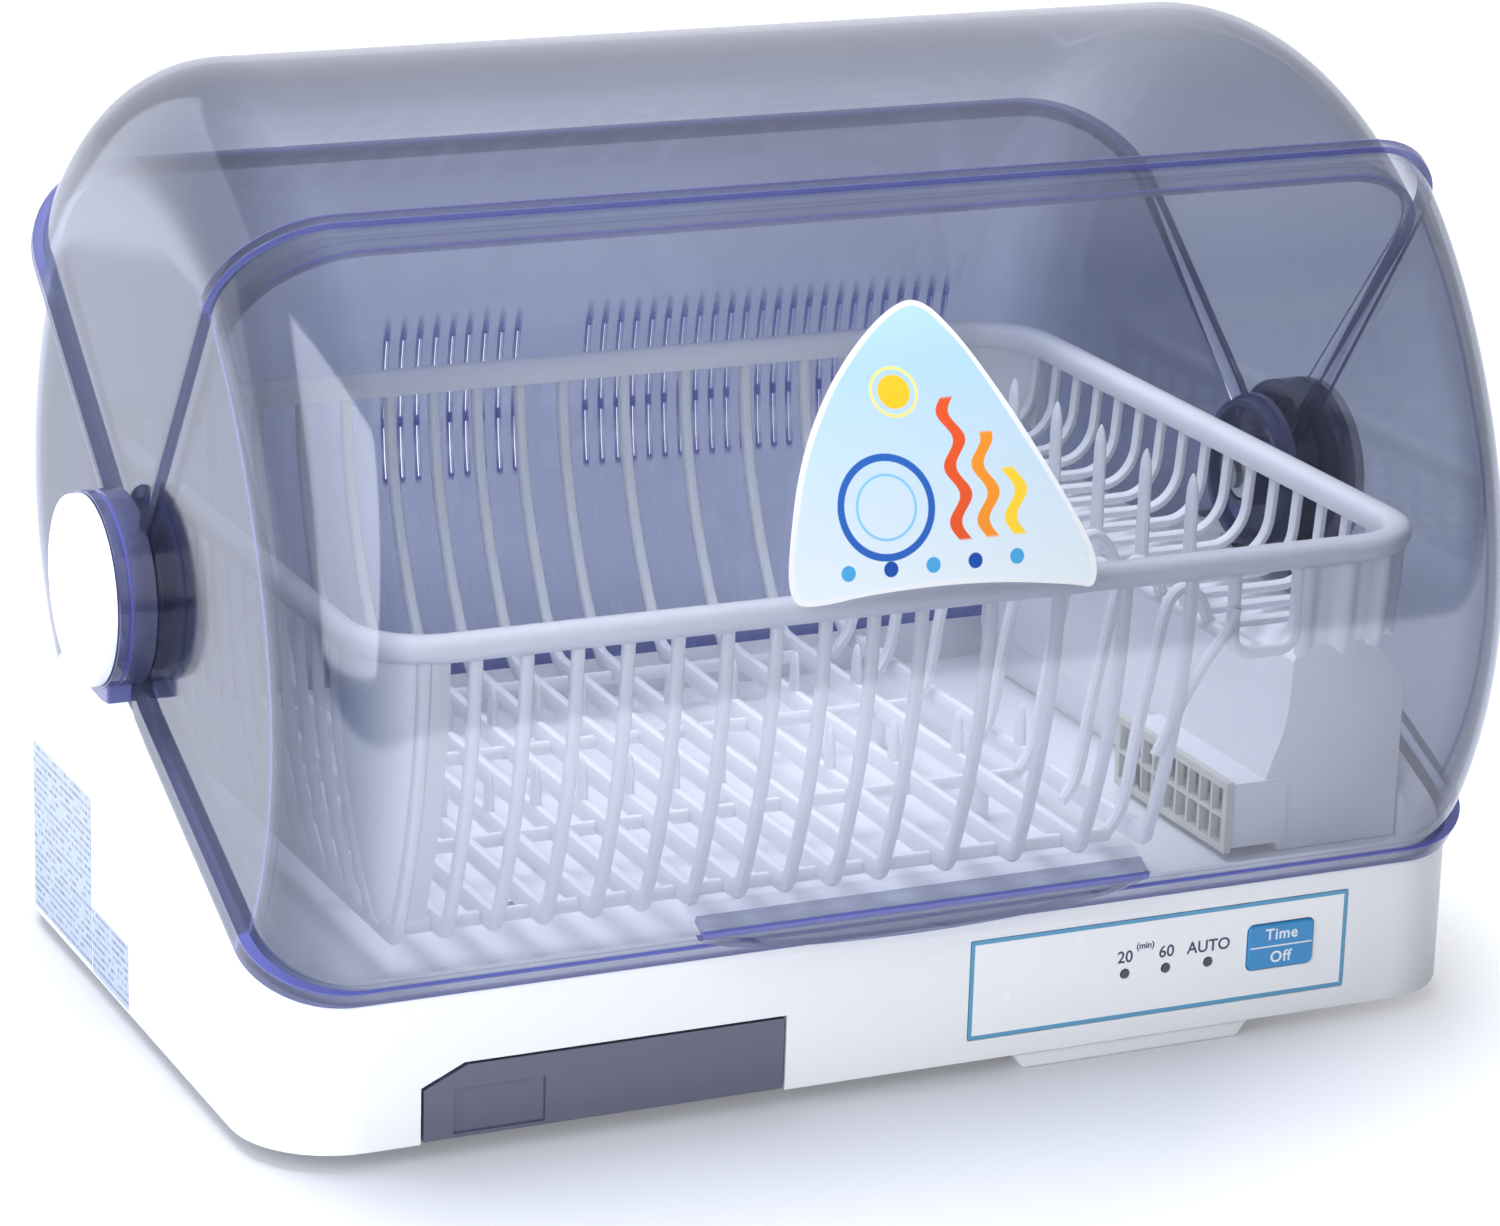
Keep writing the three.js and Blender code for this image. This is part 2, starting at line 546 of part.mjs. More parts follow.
function drumRow(shell, degrees, inset, hubRadius) {
  const half = shell.halfWidth - inset;
  const lean = shell.leans ? Math.max(0, (degrees - rearLean.from) / (rearLean.at - rearLean.from)) : 0;
  const radius = shell.radius - rearLean.drop * lean ** 2 - inset;
  const swell = shell.cornerSwell * Math.exp(-(((degrees - swellShape.at) / swellShape.span) ** 2));
  const corner = shell.corner + swell - inset;
  const quarter = Array.from({ length: sides.lidCorner + 1 }, (_, k) => {
    const angle = (k / sides.lidCorner) * (Math.PI / 2);
    return [half - corner + corner * Math.cos(angle), radius - corner + corner * Math.sin(angle)];
  });
  const right = [[half, hubRadius], ...quarter];
  const left = right.map(([x, r]) => [-x, r]).reverse();
  return [...right, ...left].map(([x, r]) => around(degrees, r, x));
}

// Angles from one to another at about the shells' common step
function fan360(from, to) {
  const count = Math.max(1, Math.round((to - from) / sector.step));
  return Array.from({ length: count + 1 }, (_, i) => from + ((to - from) * i) / count);
}

function drum(shell, angles, hubRadius) {
  return sheetBody(angles.map((a) => drumRow(shell, a, 0, hubRadius)),
    angles.map((a) => drumRow(shell, a, lidWall, hubRadius)));
}

// A raised frame along a shell's edge and down its side walls to the hub, of one width all the way.
// It stands out by one height and in by another.
function edgeFrame(shell, degrees, toward, outward, inward) {
  const tangent = around(degrees + 90, 1, 0).sub(around(degrees + 90, 0, 0)).multiplyScalar(toward);
  const face = (inset) => [-bead.inset, bead.width].map((shift) => drumRow(shell, degrees, inset, hub.sleeve)
    .map((point) => point.addScaledVector(tangent, shift)));
  const [first, second] = [face(-outward), face(inward)];
  return toward > 0 ? sheetBody(first, second) : sheetBody(first.reverse(), second.reverse());
}

const shellInner = (shell) => shell.halfWidth - lidWall;

// Round plates that thicken both side walls at the axle
function hubPlates(shell, radius) {
  return [-1, 1].map((side) => rodX(radius, side * (shellInner(shell) - hub.plateStep),
    side * (shell.halfWidth + hub.plateStep), axle.y, axle.z));
}

function hubBores() {
  return rodX(hub.bore, -fit.reach, fit.reach, axle.y, axle.z);
}

function hubClear() {
  return rodX(hub.ring - fit.overrun, -fit.reach, fit.reach, axle.y, axle.z);
}

function frontLid() {
  const shell = shells.front;
  const skin = drum(shell, [sector.frontLow, ...fan360(sector.frontCorner, sector.frontTop)], hub.sleeve);
  const edge = edgeFrame(shell, sector.frontTop, -1, bead.height, lidWall - bead.inset);
  const body = cut(join(skin, edge, flangeBand(), handleLip()), underFrontPlane(fit.run));
  return cut(join(body, ...hubPlates(shell, hub.ring), ...[-1, 1].map(hubRing)), hubBores());
}

// The thick band along the front lid's lower edge, which hides the joint with the base
function flangeBand() {
  const outer = { ...shells.front, halfWidth: halfBase + flange.overhang, radius: shells.front.radius + flange.overhang };
  const angles = [sector.frontLow, sector.frontCorner, sector.bandTop];
  const ring = sheetBody(angles.map((a) => drumRow(outer, a, 0, hub.sleeve)),
    angles.map((a) => drumRow(shells.front, a, lidWall / 2, hub.sleeve)));
  return cut(ring.intersect(underFrontPlane(flange.height + fit.run)), hubClear());
}

function hubRing(side) {
  const start = side * (shells.front.halfWidth - lidWall / 2);
  const ring = rodX(hub.ring, start, side * hubFace, axle.y, axle.z);
  const room = rodX(hub.ring - hub.ringWall, side * (shells.front.halfWidth - lidWall / 3), side * (hubFace + fit.overrun),
    axle.y, axle.z);
  const under = axle.z - hub.ring + hub.ringWall / 2;
  const bottom = axle.z - stopBlock.down;
  const shape = outline([[stopBlock.back, under], [stopBlock.back, bottom + fit.overrun], [stopBlock.mid, bottom],
    [stopBlock.front, bottom + fit.overrun], [stopBlock.front, axle.z - stopBlock.frontDown]]);
  const [near, far] = [halfBase + fit.run, hubFace - fit.overrun];
  const stop = acrossX(shape, side > 0 ? near : -far, side > 0 ? far : -near);
  return join(cut(ring, room), cut(stop, room));
}

// Finger lip: a ledge on the front lid's lower edge with a lens-shaped skirt under it
function handleLip() {
  const shell = shells.front;
  const outer = shell.radius + handle.reach;
  const inner = shell.radius - lidWall / 2;
  const columns = 12;
  const toDegrees = (length) => THREE.MathUtils.radToDeg(length / shell.radius);
  const shares = Array.from({ length: columns + 1 }, (_, j) => -1 + (2 * j) / columns);
  const drop = (share) => handle.at - toDegrees(handle.thick / 2 + handle.skirt * Math.sqrt(1 - (share * handle.endShare) ** 2));
  const top = handle.at + toDegrees(handle.thick / 2);
  const under = handle.at - toDegrees(handle.thick / 2);
  const skirt = (depth) => [0, 1].map((row) => shares.map((share) => {
    const degrees = row ? drop(share) : handle.at;
    return around(degrees, outer - depth - handle.reach * handle.tuckShare * row, handle.halfLength * share);
  }));
  const ledge = (degrees) => [inner, outer + fit.seat].map((r) => [-1, 1].map((end) => around(degrees, r,
    end * (handle.halfLength + fit.seat))));
  return join(sheetBody(ledge(top), ledge(under)), sheetBody(skirt(0), skirt(handle.thick)));
}

function upperLid() {
  const shell = shells.upper;
  const skin = drum(shell, fan360(sector.upperFrom, sector.upperTo), hub.sleeve);
  const front = edgeFrame(shell, sector.upperFrom, 1, -bead.inset, lidWall + bead.innerHeight);
  const back = edgeFrame(shell, sector.upperTo, -1, bead.catchHeight, lidWall - bead.inset);
  const clear = rodX(hub.ring + fit.run * 2, -fit.reach, fit.reach, axle.y, axle.z, sides.wide);
  const plateRoom = rodX(hub.disc - fit.overrun, -fit.reach, fit.reach, axle.y, axle.z);
  return cut(join(skin, cut(front, plateRoom), cut(back, clear), ...hubPlates(shell, hub.disc)), hubBores());
}

function rearCover() {
  const shell = { ...shells.rear, leans: true };
  const angles = [...fan360(sector.rearFrom, sector.ventTop), sector.ventBar, ...fan360(sector.ventFoot, sector.rearTo)];
  const skin = drum(shell, angles, hub.sleeve);
  const start = axle.y + shell.radius / 2;
  const slots = [[vent.leftFrom, vent.leftCount], [vent.rightFrom, vent.rightCount]].flatMap(([from, count]) => Array
    .from({ length: count }, (_, i) => from + i * vent.pitch)
    .map((x) => block(x, x + vent.width, start, fit.reach, vent.low, vent.high)));
  const overBase = underFrontPlane(fit.run).intersect(underBackPlane(fit.run))
    .intersect(block(-fit.reach, fit.reach, -fit.reach, fit.reach, -fit.reach, base.peak + fit.run));
  const bosses = [-1, 1].flatMap((side) => {
    const root = side * (shellInner(shell) + lidWall / 2);
    const floor = side * (shellInner(shell) - hub.plateStep);
    const ring = cut(rodX(hub.bossRing, root, side * bossRingEnd, axle.y, axle.z),
      rodX(hub.bossRing - hub.bossRingWall, floor, side * (bossRingEnd - fit.overrun), axle.y, axle.z));
    return [ring, rodX(hub.sleeve, root, side * bossEnd, axle.y, axle.z, sides.small)];
  });
  return cut(join(cut(skin, overBase, ...slots), ...hubPlates(shell, hub.bossDisc), ...bosses), hubBores());
}

// Pivot caps with their stems, pivot screws and friction washers

function pivotCap(side) {
  const back = hubFace + fit.seat;
  const stemEnd = bossEnd + cap.stemGap;
  const web = back + cap.rim - cap.skin / 2;
  const dome = [1, 0.8, 0.45, 0].map((share) => [cap.radius * share, back + cap.rim + cap.dome * (1 - share ** 2)]);
  const profile = [[0, stemEnd], [cap.stem, stemEnd], [cap.stem, web], [cap.radius - cap.skin, web],
    [cap.radius - cap.skin, back], [cap.radius, back], ...dome];
  const geometry = new THREE.LatheGeometry(profile.map(([r, x]) => new THREE.Vector2(r, x)), sides.round);
  geometry.rotateZ(-side * Math.PI / 2).translate(0, axle.y, axle.z);
  const bore = rodX(cap.screwBore, side * (stemEnd - fit.overrun), side * (stemEnd + pivotScrew.length + fit.overrun),
    axle.y, axle.z, sides.tiny);
  return cut(solid(geometry), bore);
}

function pivotScrewBody(side) {
  const headOut = bossEnd - fit.seat;
  const head = rodX(pivotScrew.head, side * (headOut - pivotScrew.headThick), side * headOut, axle.y, axle.z, sides.small);
  const shank = rodX(pivotScrew.shank, side * (headOut - fit.overrun), side * (headOut + pivotScrew.length), axle.y, axle.z, sides.tiny);
  return join(head, shank);
}

function frictionWasher(side, innerShell, outerShell) {
  const middle = (innerShell.halfWidth + shellInner(outerShell)) / 2;
  const [x0, x1] = [middle - washer.thick / 2, middle + washer.thick / 2];
  return cut(rodX(washer.outer, side * x0, side * x1, axle.y, axle.z, sides.small),
    rodX(washer.inner, side * (x0 - fit.overrun), side * (x1 + fit.overrun), axle.y, axle.z, sides.small));
}

// Dish basket: one moulding of rim, hoops that run front to back, hoops that run side to side, and prongs

const xAxis = new THREE.Vector3(1, 0, 0);
const yAxis = new THREE.Vector3(0, 1, 0);
const zAxis = new THREE.Vector3(0, 0, 1);

// Inward lean of a wall bar at a height, as the square of its depth under the rim
function lean(z, inset) {
  return inset * ((basket.rimZ - z) / (basket.rimZ - basket.floor)) ** 2;
}

const wallLevelShares = [0, 0.4, 0.74, 0.94];
// Which side loops cross the floor, and which of the others also climb the shelf's inner wall
const floorLoops = [0, 4, 9, 13];
const crestLoops = [2, 6, 11];

function wallLevels(foot = basket.floor) {
  return wallLevelShares.map((share) => basket.rimZ - share * (basket.rimZ - foot));
}

// Height of the basket's floor, or past its ends of the end walls, at a place along Y
function floorLevel(y) {
  const depth = basket.rimZ - basket.floor;
  const front = Math.sqrt(Math.min(1, Math.max(0, basket.front + y) / basket.frontInset));
  const back = Math.sqrt(Math.min(1, Math.max(0, basket.back - y) / basket.backInset));
  return basket.rimZ - depth * Math.min(front, back);
}

const thin = basket.bar / 2;

// A hoop across the front wall, the floor and the back wall. It is a flat blade along the floor.
function frontToBackHoop(x) {
  const levels = wallLevels();
  const front = levels.map((z) => new THREE.Vector3(x, -basket.front + lean(z, basket.frontInset), z));
  const back = levels.map((z) => new THREE.Vector3(x, basket.back - lean(z, basket.backInset), z)).reverse();
  const foot = [basket.footRadius - basket.front + basket.frontInset, basket.back - basket.backInset - basket.footRadius]
    .map((y) => new THREE.Vector3(x, y, basket.floor));
  const path = [...front, ...foot, ...back];
  const thick = path.map((_, i) => (i === levels.length || i === levels.length + 1 ? basket.blade / 2 : thin));
  return bar(path, xAxis, thin, thick);
}

function leftWallPath(y) {
  return wallLevels(floorLevel(y)).map((z) => new THREE.Vector3(lean(z, basket.sideInset) - basket.halfWidth, y, z));
}

// The outer wall of the shelf: a quarter turn up from the shelf and on to the rim
function shelfWallPath(y) {
  const turn = basket.halfWidth - basket.shelfTo;
  const arc = [0, 1, 2].map((k) => {
    const angle = (k / 2) * (Math.PI / 2);
    return new THREE.Vector3(basket.shelfTo + (turn - thin) * Math.sin(angle), y, basket.shelf + turn * (1 - Math.cos(angle)));
  });
  return [new THREE.Vector3(basket.shelfFrom, y, basket.shelf), ...arc, new THREE.Vector3(basket.halfWidth, y, basket.rimZ)];
}

// The inner wall of the shelf, from the floor's right edge over the crest and down to the shelf
const crestShares = [[0, 0.06], [0.35, 0.4], [0.8, 0.82]];

function shelfCrestPath(y) {
  const wall = crestShares.map(([out, up]) => new THREE.Vector3(basket.wallFoot + (basket.wallTop - basket.wallFoot) * out, y,
    basket.floor + (basket.crest - basket.floor) * up));
  const top = new THREE.Vector3((basket.wallTop * 2 + basket.shelfFrom) / 3, y, basket.crest);
  return [...wall, top];
}

function sideToSideHoop(y) {
  const floor = [basket.sideInset + basket.footRadius - basket.halfWidth, basket.wallFoot - basket.footRadius]
    .map((x) => new THREE.Vector3(x, y, basket.floor));
  return bar([...leftWallPath(y), ...floor, ...shelfCrestPath(y), ...shelfWallPath(y)], yAxis, thin, basket.crossBar / 2);
}

// Bars of the side walls alone, which end on the first floor blade and on the shelf's inner rail
function sideWallBars(y) {
  const left = [...leftWallPath(y), new THREE.Vector3(basket.firstRib, y, floorLevel(y))];
  return [bar(left, yAxis, thin, basket.crossBar / 2), bar(shelfWallPath(y), yAxis, thin, basket.crossBar / 2)];
}

// A bar of the shelf's inner wall alone, from the last floor blade to the shelf's inner rail
function crestBar(y, lastRib) {
  const path = [new THREE.Vector3(lastRib, y, basket.floor), ...shelfCrestPath(y), new THREE.Vector3(basket.shelfFrom, y, basket.shelf)];
  return bar(path, yAxis, thin, basket.crossBar / 2);
}

// The rim's centre line
function rimLoop() {
  const shape = roundedBox(-basket.halfWidth, basket.halfWidth, -basket.front, basket.back, basket.corner);
  const points = shape.getPoints(sides.corner).map((p) => new THREE.Vector3(p.x, p.y, basket.rimZ));
  return points.filter((p, i) => p.distanceTo(points[(i + 1) % points.length]) > fit.weld * 10);
}

// A bent sheet that follows the rim round a corner, from the rim down to a level
function cornerSheet(signX, signY, alongX, bottom) {
  const [end, inset] = signY < 0 ? [basket.front, basket.frontInset] : [basket.back, basket.backInset];
  const route = [[basket.halfWidth - basket.corner - alongX, end, 0, 1]];
  for (let k = 0; k <= sides.corner; k += 1) {
    const angle = (k / sides.corner) * (Math.PI / 2);
    route.push([basket.halfWidth - basket.corner + basket.corner * Math.sin(angle),
      end - basket.corner + basket.corner * Math.cos(angle), Math.sin(angle), Math.cos(angle)]);
  }
  const levels = [0, 0.5, 1].map((share) => basket.rimZ - share * (basket.rimZ - bottom));
  const face = (offset) => levels.map((z) => route.map(([x, y, nx, ny]) => new THREE.Vector3(
    signX * (x - nx * (lean(z, basket.sideInset) + offset)), signY * (y - ny * (lean(z, inset) + offset)), z)));
  return sheetBody(face(-basket.sheet / 2), face(basket.sheet / 2));
}

const prongShare = 0.6;

// A flat prong that narrows to its top, standing across the X axis
function prong(x, y, z, height, width) {
  const half = width / 2;
  const shape = outline([[y - half, z], [y + half, z], [y + half * prongShare, z + height], [y - half * prongShare, z + height]]);
  return acrossX(shape, x - basket.prongThick / 2, x + basket.prongThick / 2);
}

function ribPlaces() {
  const close = Array.from({ length: basket.ribCount }, (_, i) => basket.firstRib + i * basket.ribPitch);
  const last = close[close.length - 1];
  return [...close, ...Array.from({ length: basket.wideCount }, (_, i) => last + (i + 1) * basket.widePitch)];
}

function loopPlaces() {
  return Array.from({ length: basket.loopCount }, (_, j) => basket.firstLoop + j * basket.loopPitch);
}

// The frame of the window at each end of the shelf: two posts and a sill
function shelfWindow(end) {
  const [y0, y1] = end < 0 ? [-basket.front, basket.bar - basket.front] : [basket.back - basket.bar, basket.back];
  const low = basket.shelf - thin;
  const posts = [basket.windowTo, basket.postFrom].map((x) => block(x, x + basket.bar, y0, y1, low, basket.rimZ));
  return [...posts, block(basket.postFrom + thin, basket.halfWidth - basket.corner, y0, y1, low, basket.shelf + thin)];
}

function dishBasket() {
  const rim = bar(rimLoop(), zAxis, basket.rimHalfHeight, basket.rimHalfWidth, rimShares, true);
  const ribs = ribPlaces();
  const loops = loopPlaces();
  const [firstLoop, lastLoop] = [loops[0], loops[loops.length - 1]];
  const pieces = [rim, ...ribs.map(frontToBackHoop)];
  loops.forEach((y, j) => {
    if (floorLoops.includes(j)) pieces.push(sideToSideHoop(y));
    else pieces.push(...sideWallBars(y));
    if (crestLoops.includes(j)) pieces.push(crestBar(y, ribs[ribs.length - 1]));
  });
  for (const j of floorLoops.slice(1, -1)) {
    const y = loops[j] + basket.loopPitch;
    for (const x of ribs) pieces.push(prong(x, y, basket.floor, basket.prongHeight, basket.prongWidth));
  }
  const railX = basket.shelfFrom - thin;
  pieces.push(block(railX - thin, railX + thin, thin - basket.front, basket.back - thin, basket.shelf - thin, basket.shelf + thin));
  for (const y of loops.filter((_, j) => j % 2 === 1)) {
    pieces.push(prong(railX, y, basket.shelf, basket.shelfProng + basket.crest - basket.shelf, basket.shelfProngWidth));
  }
  const leftReach = Math.max(0, basket.halfWidth - basket.corner + basket.firstRib);
  const rightReach = basket.halfWidth - basket.corner - basket.windowTo;
  for (const end of [-1, 1]) {
    pieces.push(cornerSheet(-1, end, leftReach + fit.overrun, basket.floor + basket.footRadius));
    pieces.push(cornerSheet(1, end, rightReach, basket.shelf), ...shelfWindow(end));
  }
  const half = basket.footWidth / 2;
  for (const x of [ribs[1], ribs[ribs.length - 2]]) {
    for (const y of floorLoops.slice(1, -1).map((j) => loops[j])) {
      pieces.push(block(x - half, x + half, y - half, y + half, base.deckTop + fit.seat, basket.floor));
    }
  }
  return join(...pieces);
}

// Drip tray: a shallow drawer with a clear front plate that fills its mouth in the base

function trayFront() {
  const plate = acrossY(trayOutline(0, tray.bottom), -base.front, -base.front + tray.plate);
  const grip = block(tray.left + tray.gripLeft, tray.left + tray.gripRight, -base.front - fit.overrun,
    -base.front + tray.gripDepth, tray.bottom + tray.gripUp, tray.top - tray.gripDown - tray.gripUp);
  return cut(plate, grip);
}

const trayFloor = coverTop + fit.seat;

function dripTray() {
  const back = -base.front + tray.bodyDepth;
  const outer = raised(roundedBox(trayBodyLeft, trayBodyRight, -base.front + tray.plate / 2, back, tray.wall, tray.bodyInset),
    trayFloor, tray.top - tray.bodyDown);
  const inner = raised(roundedBox(trayBodyLeft + tray.wall, trayBodyRight - tray.wall, -base.front + tray.plate + tray.wall,
    back - tray.wall, tray.wall / 2, tray.bodyInset - tray.wall), trayFloor + tray.wall, fit.reach);
  return cut(join(trayFront(), outer), inner);
}

// Blower cover: the curved hump on the right of the deck, with the duct that holds the outlet grille

function humpOutline(inset) {
  const low = base.deckTop + fit.seat;
  const leftSide = new THREE.SplineCurve([
    new THREE.Vector2(hump.foot + inset, low), new THREE.Vector2(hump.waist + inset, hump.waistZ),
    new THREE.Vector2(hump.shoulder + inset, hump.shoulderZ), new THREE.Vector2(hump.top + inset, hump.topZ - hump.edge),
  ]).getPoints(sides.humpSide);
  const crown = new THREE.SplineCurve([
    new THREE.Vector2(hump.top + inset, hump.topZ - hump.edge), new THREE.Vector2(hump.top + hump.edge, hump.topZ - inset),
    new THREE.Vector2(hump.crownTo - inset, hump.topZ - hump.edge / 4 - inset),
    new THREE.Vector2(hump.right - inset, hump.rightZ - inset),
  ]).getPoints(sides.humpCrown).slice(1);
  return outline([...[...leftSide, ...crown].map((p) => [p.x, p.y]), [hump.right - inset, low]]);
}

function blowerCover() {
  const low = base.deckTop + fit.seat;
  const mass = acrossY(humpOutline(0), hump.front, hump.back);
  const room = acrossY(humpOutline(hump.wall), hump.front + hump.wall, hump.back - hump.wall);
  const openFoot = block(hump.foot + hump.wall, hump.right - hump.wall, hump.front + hump.wall, hump.back - hump.wall,
    low - fit.overrun, low + fit.overrun);
  const duct = block(outlet.face + outlet.depth + fit.seat, hump.foot + hump.wall, outlet.front, outlet.back, outlet.bottom, outlet.top);
  const ductRoom = block(outlet.face, hump.foot + hump.wall + fit.overrun, outlet.front + outlet.wall,
    outlet.back - outlet.wall, outlet.bottom + outlet.wall, outlet.top - outlet.wall);
  return cut(join(mass, duct), room, openFoot, ductRoom);
}

function outletGrille() {
  const frame = block(outlet.face, outlet.face + outlet.depth, outlet.front - outlet.lip, outlet.back + outlet.lip,
    outlet.bottom - outlet.lip, outlet.top + outlet.lip);
  const across = (outlet.back - outlet.front - outlet.wall * 2 + outlet.bars) / outlet.columns;
  const up = (outlet.top - outlet.bottom - outlet.wall * 2 + outlet.bars) / outlet.rows;
  const holes = [];
  for (let i = 0; i < outlet.columns; i += 1) {
    for (let k = 0; k < outlet.rows; k += 1) {
      const [y, z] = [outlet.front + outlet.wall + i * across, outlet.bottom + outlet.wall + k * up];
      holes.push(block(outlet.face - fit.overrun, outlet.face + outlet.depth + fit.overrun, y, y + across - outlet.bars,
        z, z + up - outlet.bars));
    }
  }
  return cut(frame, ...holes);
}

// Warm-air blower: scroll housing, bladed wheel, shaft, motor and its mount, then heater and thermostat

const scrollRadius = fan.wheel + fan.housingGap;
const scrollTop = fan.motorBottom - fan.mountThick - fit.seat;

function fanHousing() {
  const bottom = coverTop + fit.seat;
  const outer = join(rodZ(scrollRadius + fan.housingWall, bottom, scrollTop, fan.x, fan.y),
    block(fan.x, fan.x + scrollRadius + fan.housingWall, fan.y - scrollRadius - fan.duct, fan.y, bottom, scrollTop));
  const inner = join(rodZ(scrollRadius, bottom + fan.housingWall, scrollTop - fan.housingWall, fan.x, fan.y),
    block(fan.x + fan.housingWall, fan.x + scrollRadius, fan.y - scrollRadius - fan.duct - fit.overrun, fan.y,
      bottom + fan.housingWall, scrollTop - fan.housingWall));
  const inlet = rodZ(fan.inlet, bottom - fit.overrun, bottom + fan.housingWall + fit.overrun, fan.x, fan.y);
  const shaftHole = rodZ(fan.shaft * 2, scrollTop - fan.housingWall - fit.overrun, scrollTop + fit.overrun, fan.x, fan.y, sides.small);
  return cut(outer, inner, inlet, shaftHole);
}

function fanWheel() {
  const plate = rodZ(fan.wheel, fan.wheelTop - fan.plate, fan.wheelTop, fan.x, fan.y);
  const ring = cut(rodZ(fan.wheel, fan.wheelBottom, fan.wheelBottom + fan.plate, fan.x, fan.y),
    rodZ(fan.bladeInner, fan.wheelBottom - fit.overrun, fan.wheelBottom + fan.plate + fit.overrun, fan.x, fan.y));
  const boss = rodZ(fan.hub, fan.wheelBottom + fan.plate, fan.wheelTop, fan.x, fan.y, sides.small);
  const blades = Array.from({ length: fan.blades }, (_, i) => {
    const turn = (i / fan.blades) * 2 * Math.PI;
    const length = fan.wheel - fan.bladeInner - fan.bladeThick;
    const geometry = new THREE.BoxGeometry(length, fan.bladeThick, fan.wheelTop - fan.wheelBottom - fan.plate);
    geometry.rotateZ(THREE.MathUtils.degToRad(fan.bladeLean)).translate((fan.wheel + fan.bladeInner) / 2, 0, (fan.wheelTop + fan.wheelBottom) / 2);
    geometry.rotateZ(turn).translate(fan.x, fan.y, 0);
    return solid(geometry);
  });
  const bore = rodZ(fan.shaft + fit.seat, fan.wheelBottom - fit.overrun, fan.wheelTop + fit.overrun, fan.x, fan.y, sides.tiny);
  return cut(join(plate, ring, boss, ...blades), bore);
}

function motorShaft() {
  return rodZ(fan.shaft, fan.wheelBottom + fan.plate, fan.motorTop + fan.motorCapHeight + fan.mountThick, fan.x, fan.y, sides.tiny);
}

function fanMotor() {
  const can = join(rodZ(fan.motor, fan.motorBottom, fan.motorTop, fan.x, fan.y),
    rodZ(fan.motorCap, fan.motorTop - fit.overrun, fan.motorTop + fan.motorCapHeight, fan.x, fan.y, sides.small));
  const bore = rodZ(fan.shaft + fit.seat, fan.motorBottom - fit.overrun, fan.motorTop + fan.motorCapHeight + fit.overrun,
    fan.x, fan.y, sides.tiny);
  return cut(can, bore);
}

function motorMount() {
  const [z0, z1] = [fan.motorBottom - fan.mountThick, fan.motorBottom - fit.seat];
  const strap = raised(roundedBox(fan.x - fan.mountWidth / 2, fan.x + fan.mountWidth / 2, fan.y - fan.mountDepth / 2,
    fan.y + fan.mountDepth / 2, fan.mountDepth / 3), z0, z1);
  const disc = rodZ(fan.motor, z0, z1, fan.x, fan.y, sides.small);
  const hole = rodZ(fan.shaft * 2, z0 - fit.overrun, z1 + fit.overrun, fan.x, fan.y, sides.tiny);
  return cut(join(strap, disc), hole);
}

function heaterFrame() {
  const [bottom, top] = [heater.bottom, heater.top];
  const outer = block(heater.left, heater.right, heater.front, heater.back, bottom, top);
  const inner = block(heater.left + heater.board, heater.right - heater.board, heater.front - fit.overrun,
    heater.back + fit.overrun, bottom + heater.board, top - heater.board);
  const legs = [heater.left, heater.right - heater.frame].flatMap((x) => [heater.front, heater.back - heater.frame]
    .map((y) => block(x, x + heater.frame, y, y + heater.frame, coverTop + fit.seat, bottom + heater.board)));
  return join(cut(outer, inner), ...legs);
}

function heaterElement() {
  const inset = heater.board + fit.seat + heater.wire;
  const [x0, x1] = [heater.left + inset, heater.right - inset];
  const z = heater.bottom + inset;
  const step = (heater.back - heater.front - 2 * heater.frame) / (heater.turns - 1);
  const path = [];
  for (let i = 0; i < heater.turns; i += 1) {
    const y = heater.front + heater.frame + i * step;
    const ends = i % 2 === 0 ? [x0, x1] : [x1, x0];
    path.push(new THREE.Vector3(ends[0], y, z), new THREE.Vector3(ends[1], y, z));
  }
  return bar(path, zAxis, heater.wire, heater.wire);
}

function thermostatBody() {
  const [x, y] = [fan.x, fan.y - thermostat.ahead];
  const [bottom, top] = [coverTop + fit.seat, base.bottom + thermostat.up];
  const body = rodZ(thermostat.radius, top - thermostat.thick, top, x, y, sides.small);
  const post = block(x - thermostat.tabWidth / 2, x + thermostat.tabWidth / 2,
    y - thermostat.tabWidth / 2, y + thermostat.tabWidth / 2, bottom, top - thermostat.thick + fit.overrun);
  const ears = block(x - thermostat.tab / 2, x + thermostat.tab / 2, y - thermostat.tabWidth / 2,
    y + thermostat.tabWidth / 2, top - fit.overrun, top);
  return join(body, post, ears);
}

function terminalBlock() {
  const [bottom, top] = [coverTop + fit.seat, coverTop + fit.seat + terminal.height];
  const body = block(terminal.left, terminal.right, terminal.front, terminal.back, bottom, top);
  const pitch = (terminal.right - terminal.left) / 3;
  const wells = [0, 1, 2].map((i) => {
    const x = terminal.left + (i + 0.5) * pitch;
    return block(x - terminal.poleWidth / 2, x + terminal.poleWidth / 2, terminal.front - fit.overrun,
      terminal.front + terminal.poleDepth, bottom + terminal.height / 3, top - terminal.height / 4);
  });
  return cut(body, ...wells);
}

function cordGrommet() {
  const flangeFace = base.back + fit.seat;
  const inner = base.back - base.wall - fit.seat;
  const body = join(rodY(grommet.radius, inner - grommet.inside, flangeFace + fit.overrun, grommet.x, grommet.z, sides.small),
    rodY(grommet.flange, flangeFace, flangeFace + grommet.flangeThick, grommet.x, grommet.z, sides.small),
    rodY(grommet.flange, inner - grommet.flangeThick, inner, grommet.x, grommet.z, sides.small));
  return cut(body, rodY(grommet.bore, inner - grommet.inside - fit.overrun, flangeFace + grommet.flangeThick + fit.overrun,
    grommet.x, grommet.z, sides.small));
}

// Control panel: overlay, lamps, the one push button, and the board with its key switch behind them

